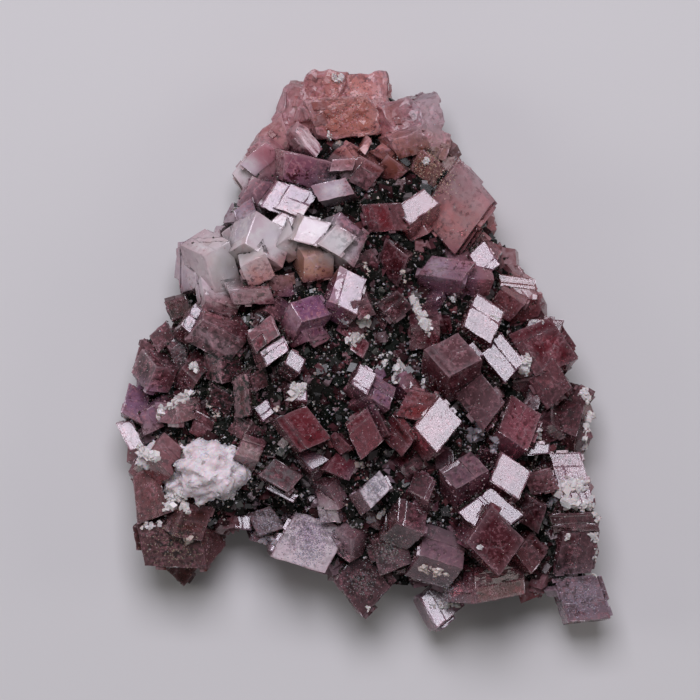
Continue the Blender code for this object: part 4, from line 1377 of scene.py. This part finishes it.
chance = random.Random(33)
ground = tree_of(crystal_pieces + [rock, milky, druse_piece])
dolomite = Heap()
for start_x, start_y, end_x, end_y, width, colour in CLUMPS:
    start, end = at_front(start_x, start_y), at_front(end_x, end_y)
    length = (end - start).length / MM
    for number in range(int(5 + 4 * width * (length + width))):
        spot = start.lerp(end, chance.random())
        spot += Vector((chance.gauss(0, SPREAD), chance.gauss(0, SPREAD), 0)) * width * MM
        hit, facing, _, _ = ground.ray_cast(Vector((spot.x, spot.y, ABOVE_ALL)), Vector((0, 0, -1)))
        if hit is None:
            continue
        size = chance.uniform(0.35, 0.95) * min(width, WIDEST) * MM
        axes = rhomb_axes((facing + UP * 0.6).normalized(), chance, 1.0)
        tint_here = dimmed(colour, chance.uniform(0.82, 1.05))
        middle = hit + UP * (chance.uniform(-0.1, 0.4) * width * MM * 0.6)
        sizes = [size * chance.uniform(0.6, 1.5) for _ in range(3)]
        if number % 3:
            shard(dolomite, middle, [1.15 * part for part in sizes], axes, tint_here, chance)
        else:
            dolomite.rhomb(middle, axes, [0.7 * part for part in sizes], tint_here, chance)

dolomite_material, tree, shader = new_material(
    "dolomite", Roughness=0.45, IOR=1.6, Subsurface_Weight=0.2, Subsurface_Scale=0.0012,
)
dolomite_grain = placed(tree, speckle, Grain_mm=0.22, Amount=0.42, Edge=0.1)
dolomite_colour = mixed(tree, dolomite_grain, attribute(tree, "tint"), (0.82, 0.76, 0.74, 1), "MULTIPLY")
feed(tree, shader, Base_Color=dolomite_colour)
dolomite.make("dolomite_clumps", dolomite_material)
flakes.make("milky_flakes", dolomite_material)

# %% [markdown]
# ## Dust
# Some faces carry a sugary skin of grains a tenth or two of a millimetre wide. Single grains
# of dolomite also lie like crumbs in the hollows, and here and there on a crystal. They are
# thickest in the lower half and where crystals meet.

# %% Sugary skins
# Each skin: middle on the front view, reach in millimetres, grains, tint.
SUGAR = [
    (-9.2, -33, 4.2, 2000, (0.50, 0.37, 0.44)), (-9.5, -37, 3.4, 420, (0.5, 0.43, 0.5)),
    (39.8, -45, 4.2, 620, (0.40, 0.31, 0.37)), (2.4, -25, 2.6, 420, (0.42, 0.36, 0.41)),
    (-17, -31, 3.0, 520, (0.50, 0.42, 0.46)), (5, -36, 3.4, 380, (0.30, 0.27, 0.26)),
    (14.7, -44, 3.0, 260, (0.45, 0.40, 0.42)), (36.5, -23, 3.4, 260, (0.7, 0.5, 0.56)),
    (-34, -35, 5.5, 420, (0.35, 0.26, 0.20)), (12, 33, 4.0, 420, (0.50, 0.32, 0.24)),
    (14.2, 29.5, 2.6, 120, (0.60, 0.42, 0.33)), (0, -42, 3.0, 300, (0.25, 0.22, 0.22)),
    (-3, 44, 7.0, 1300, (0.60, 0.31, 0.28)),
]
chance = random.Random(4)
dust = Heap()
for middle_x, middle_y, reach, count, colour in SUGAR:
    for _ in range(count):
        x, y = chance.gauss(middle_x, reach * 0.5), chance.gauss(middle_y, reach * 0.5)
        hit = crust_tree.ray_cast(at_front(x, y, 60), -UP)[0]
        if hit is None or hit.z < 3 * MM:
            continue
        shade = chance.uniform(0.45, 1.5)
        grain = crumb(chance, hit, chance.uniform(0.06, 0.17) * MM)
        add_crumb(dust, grain, [min(part, 0.9) for part in dimmed(colour, shade)])
print("sugar grains:", len(dust.faces) // len(CRUMB_FACES))

# %% Crumbs in the hollows and on the crystals
PINKISH = (0.58, 0.34, 0.36)
MOST_DUST = 24000


def dust_share(spot, normal, on_crystals):
    """How much dust lies around a spot, from none at 0 to much at 1."""
    thick = noise.noise(spot / (6 * MM)) * 0.5 + 0.45 + (0.15 if spot.y < 12 * MM else -0.2)
    if on_crystals:
        thick = (thick + 0.35 * noise.noise(spot / (2 * MM))) * (1.6 - openness(spot, normal))
    return thick


# Each source: mesh, number of tries, smallest and largest grain in millimetres, tints.
HOLLOW_TINTS = (WHITE, CREAM, GREYISH, GREYISH)
CRYSTAL_TINTS = (WHITE, PINKISH, PINKISH, PINKISH)
sources = [
    (druse_piece.data, 52000, 0.07, 0.42, HOLLOW_TINTS),
    (middling_piece.data, 9000, 0.06, 0.26, HOLLOW_TINTS),
]
for piece in crystal_pieces:
    sources.append((piece.data, int(200 + len(piece.data.polygons) * 0.3), 0.04, 0.18, CRYSTAL_TINTS))
for mesh, count, least, most, tints in sources:
    for spot, normal in scattered(mesh, count, chance):
        if normal.z < 0.1 or spot.z < 5 * MM or crust_over(spot, UP, 0.3):
            continue
        share = dust_share(spot, normal, tints is CRYSTAL_TINTS)
        if chance.random() > share or len(dust.faces) > MOST_DUST * len(CRUMB_FACES):
            continue
        size = (least + (most - least) * chance.random() ** 2.5) * MM
        colour = chance.choice(tints)
        shade = chance.uniform(0.6, 1.05)
        add_crumb(dust, crumb(chance, spot, size), dimmed(colour, shade))
dust.make("dolomite_dust", dolomite_material)

# %% [markdown]
# ## Floor
# The specimen lies on a plain pale table that isn't part of it.

# %% Floor
HALF_TABLE = 1.5
table_corners = [(x * HALF_TABLE, y * HALF_TABLE, 0) for x, y in SQUARE]
table_mesh = bpy.data.meshes.new("pale_table")
table_mesh.from_pydata(table_corners, [], [(0, 1, 2, 3)])
table = bpy.data.objects.new("pale_table", table_mesh)
bpy.context.scene.collection.objects.link(table)
table_material, _, _ = new_material("pale_table", Roughness=0.7, Base_Color=(0.68, 0.67, 0.66, 1))
table_mesh.materials.append(table_material)
print("table:", 2 * HALF_TABLE, "m wide")
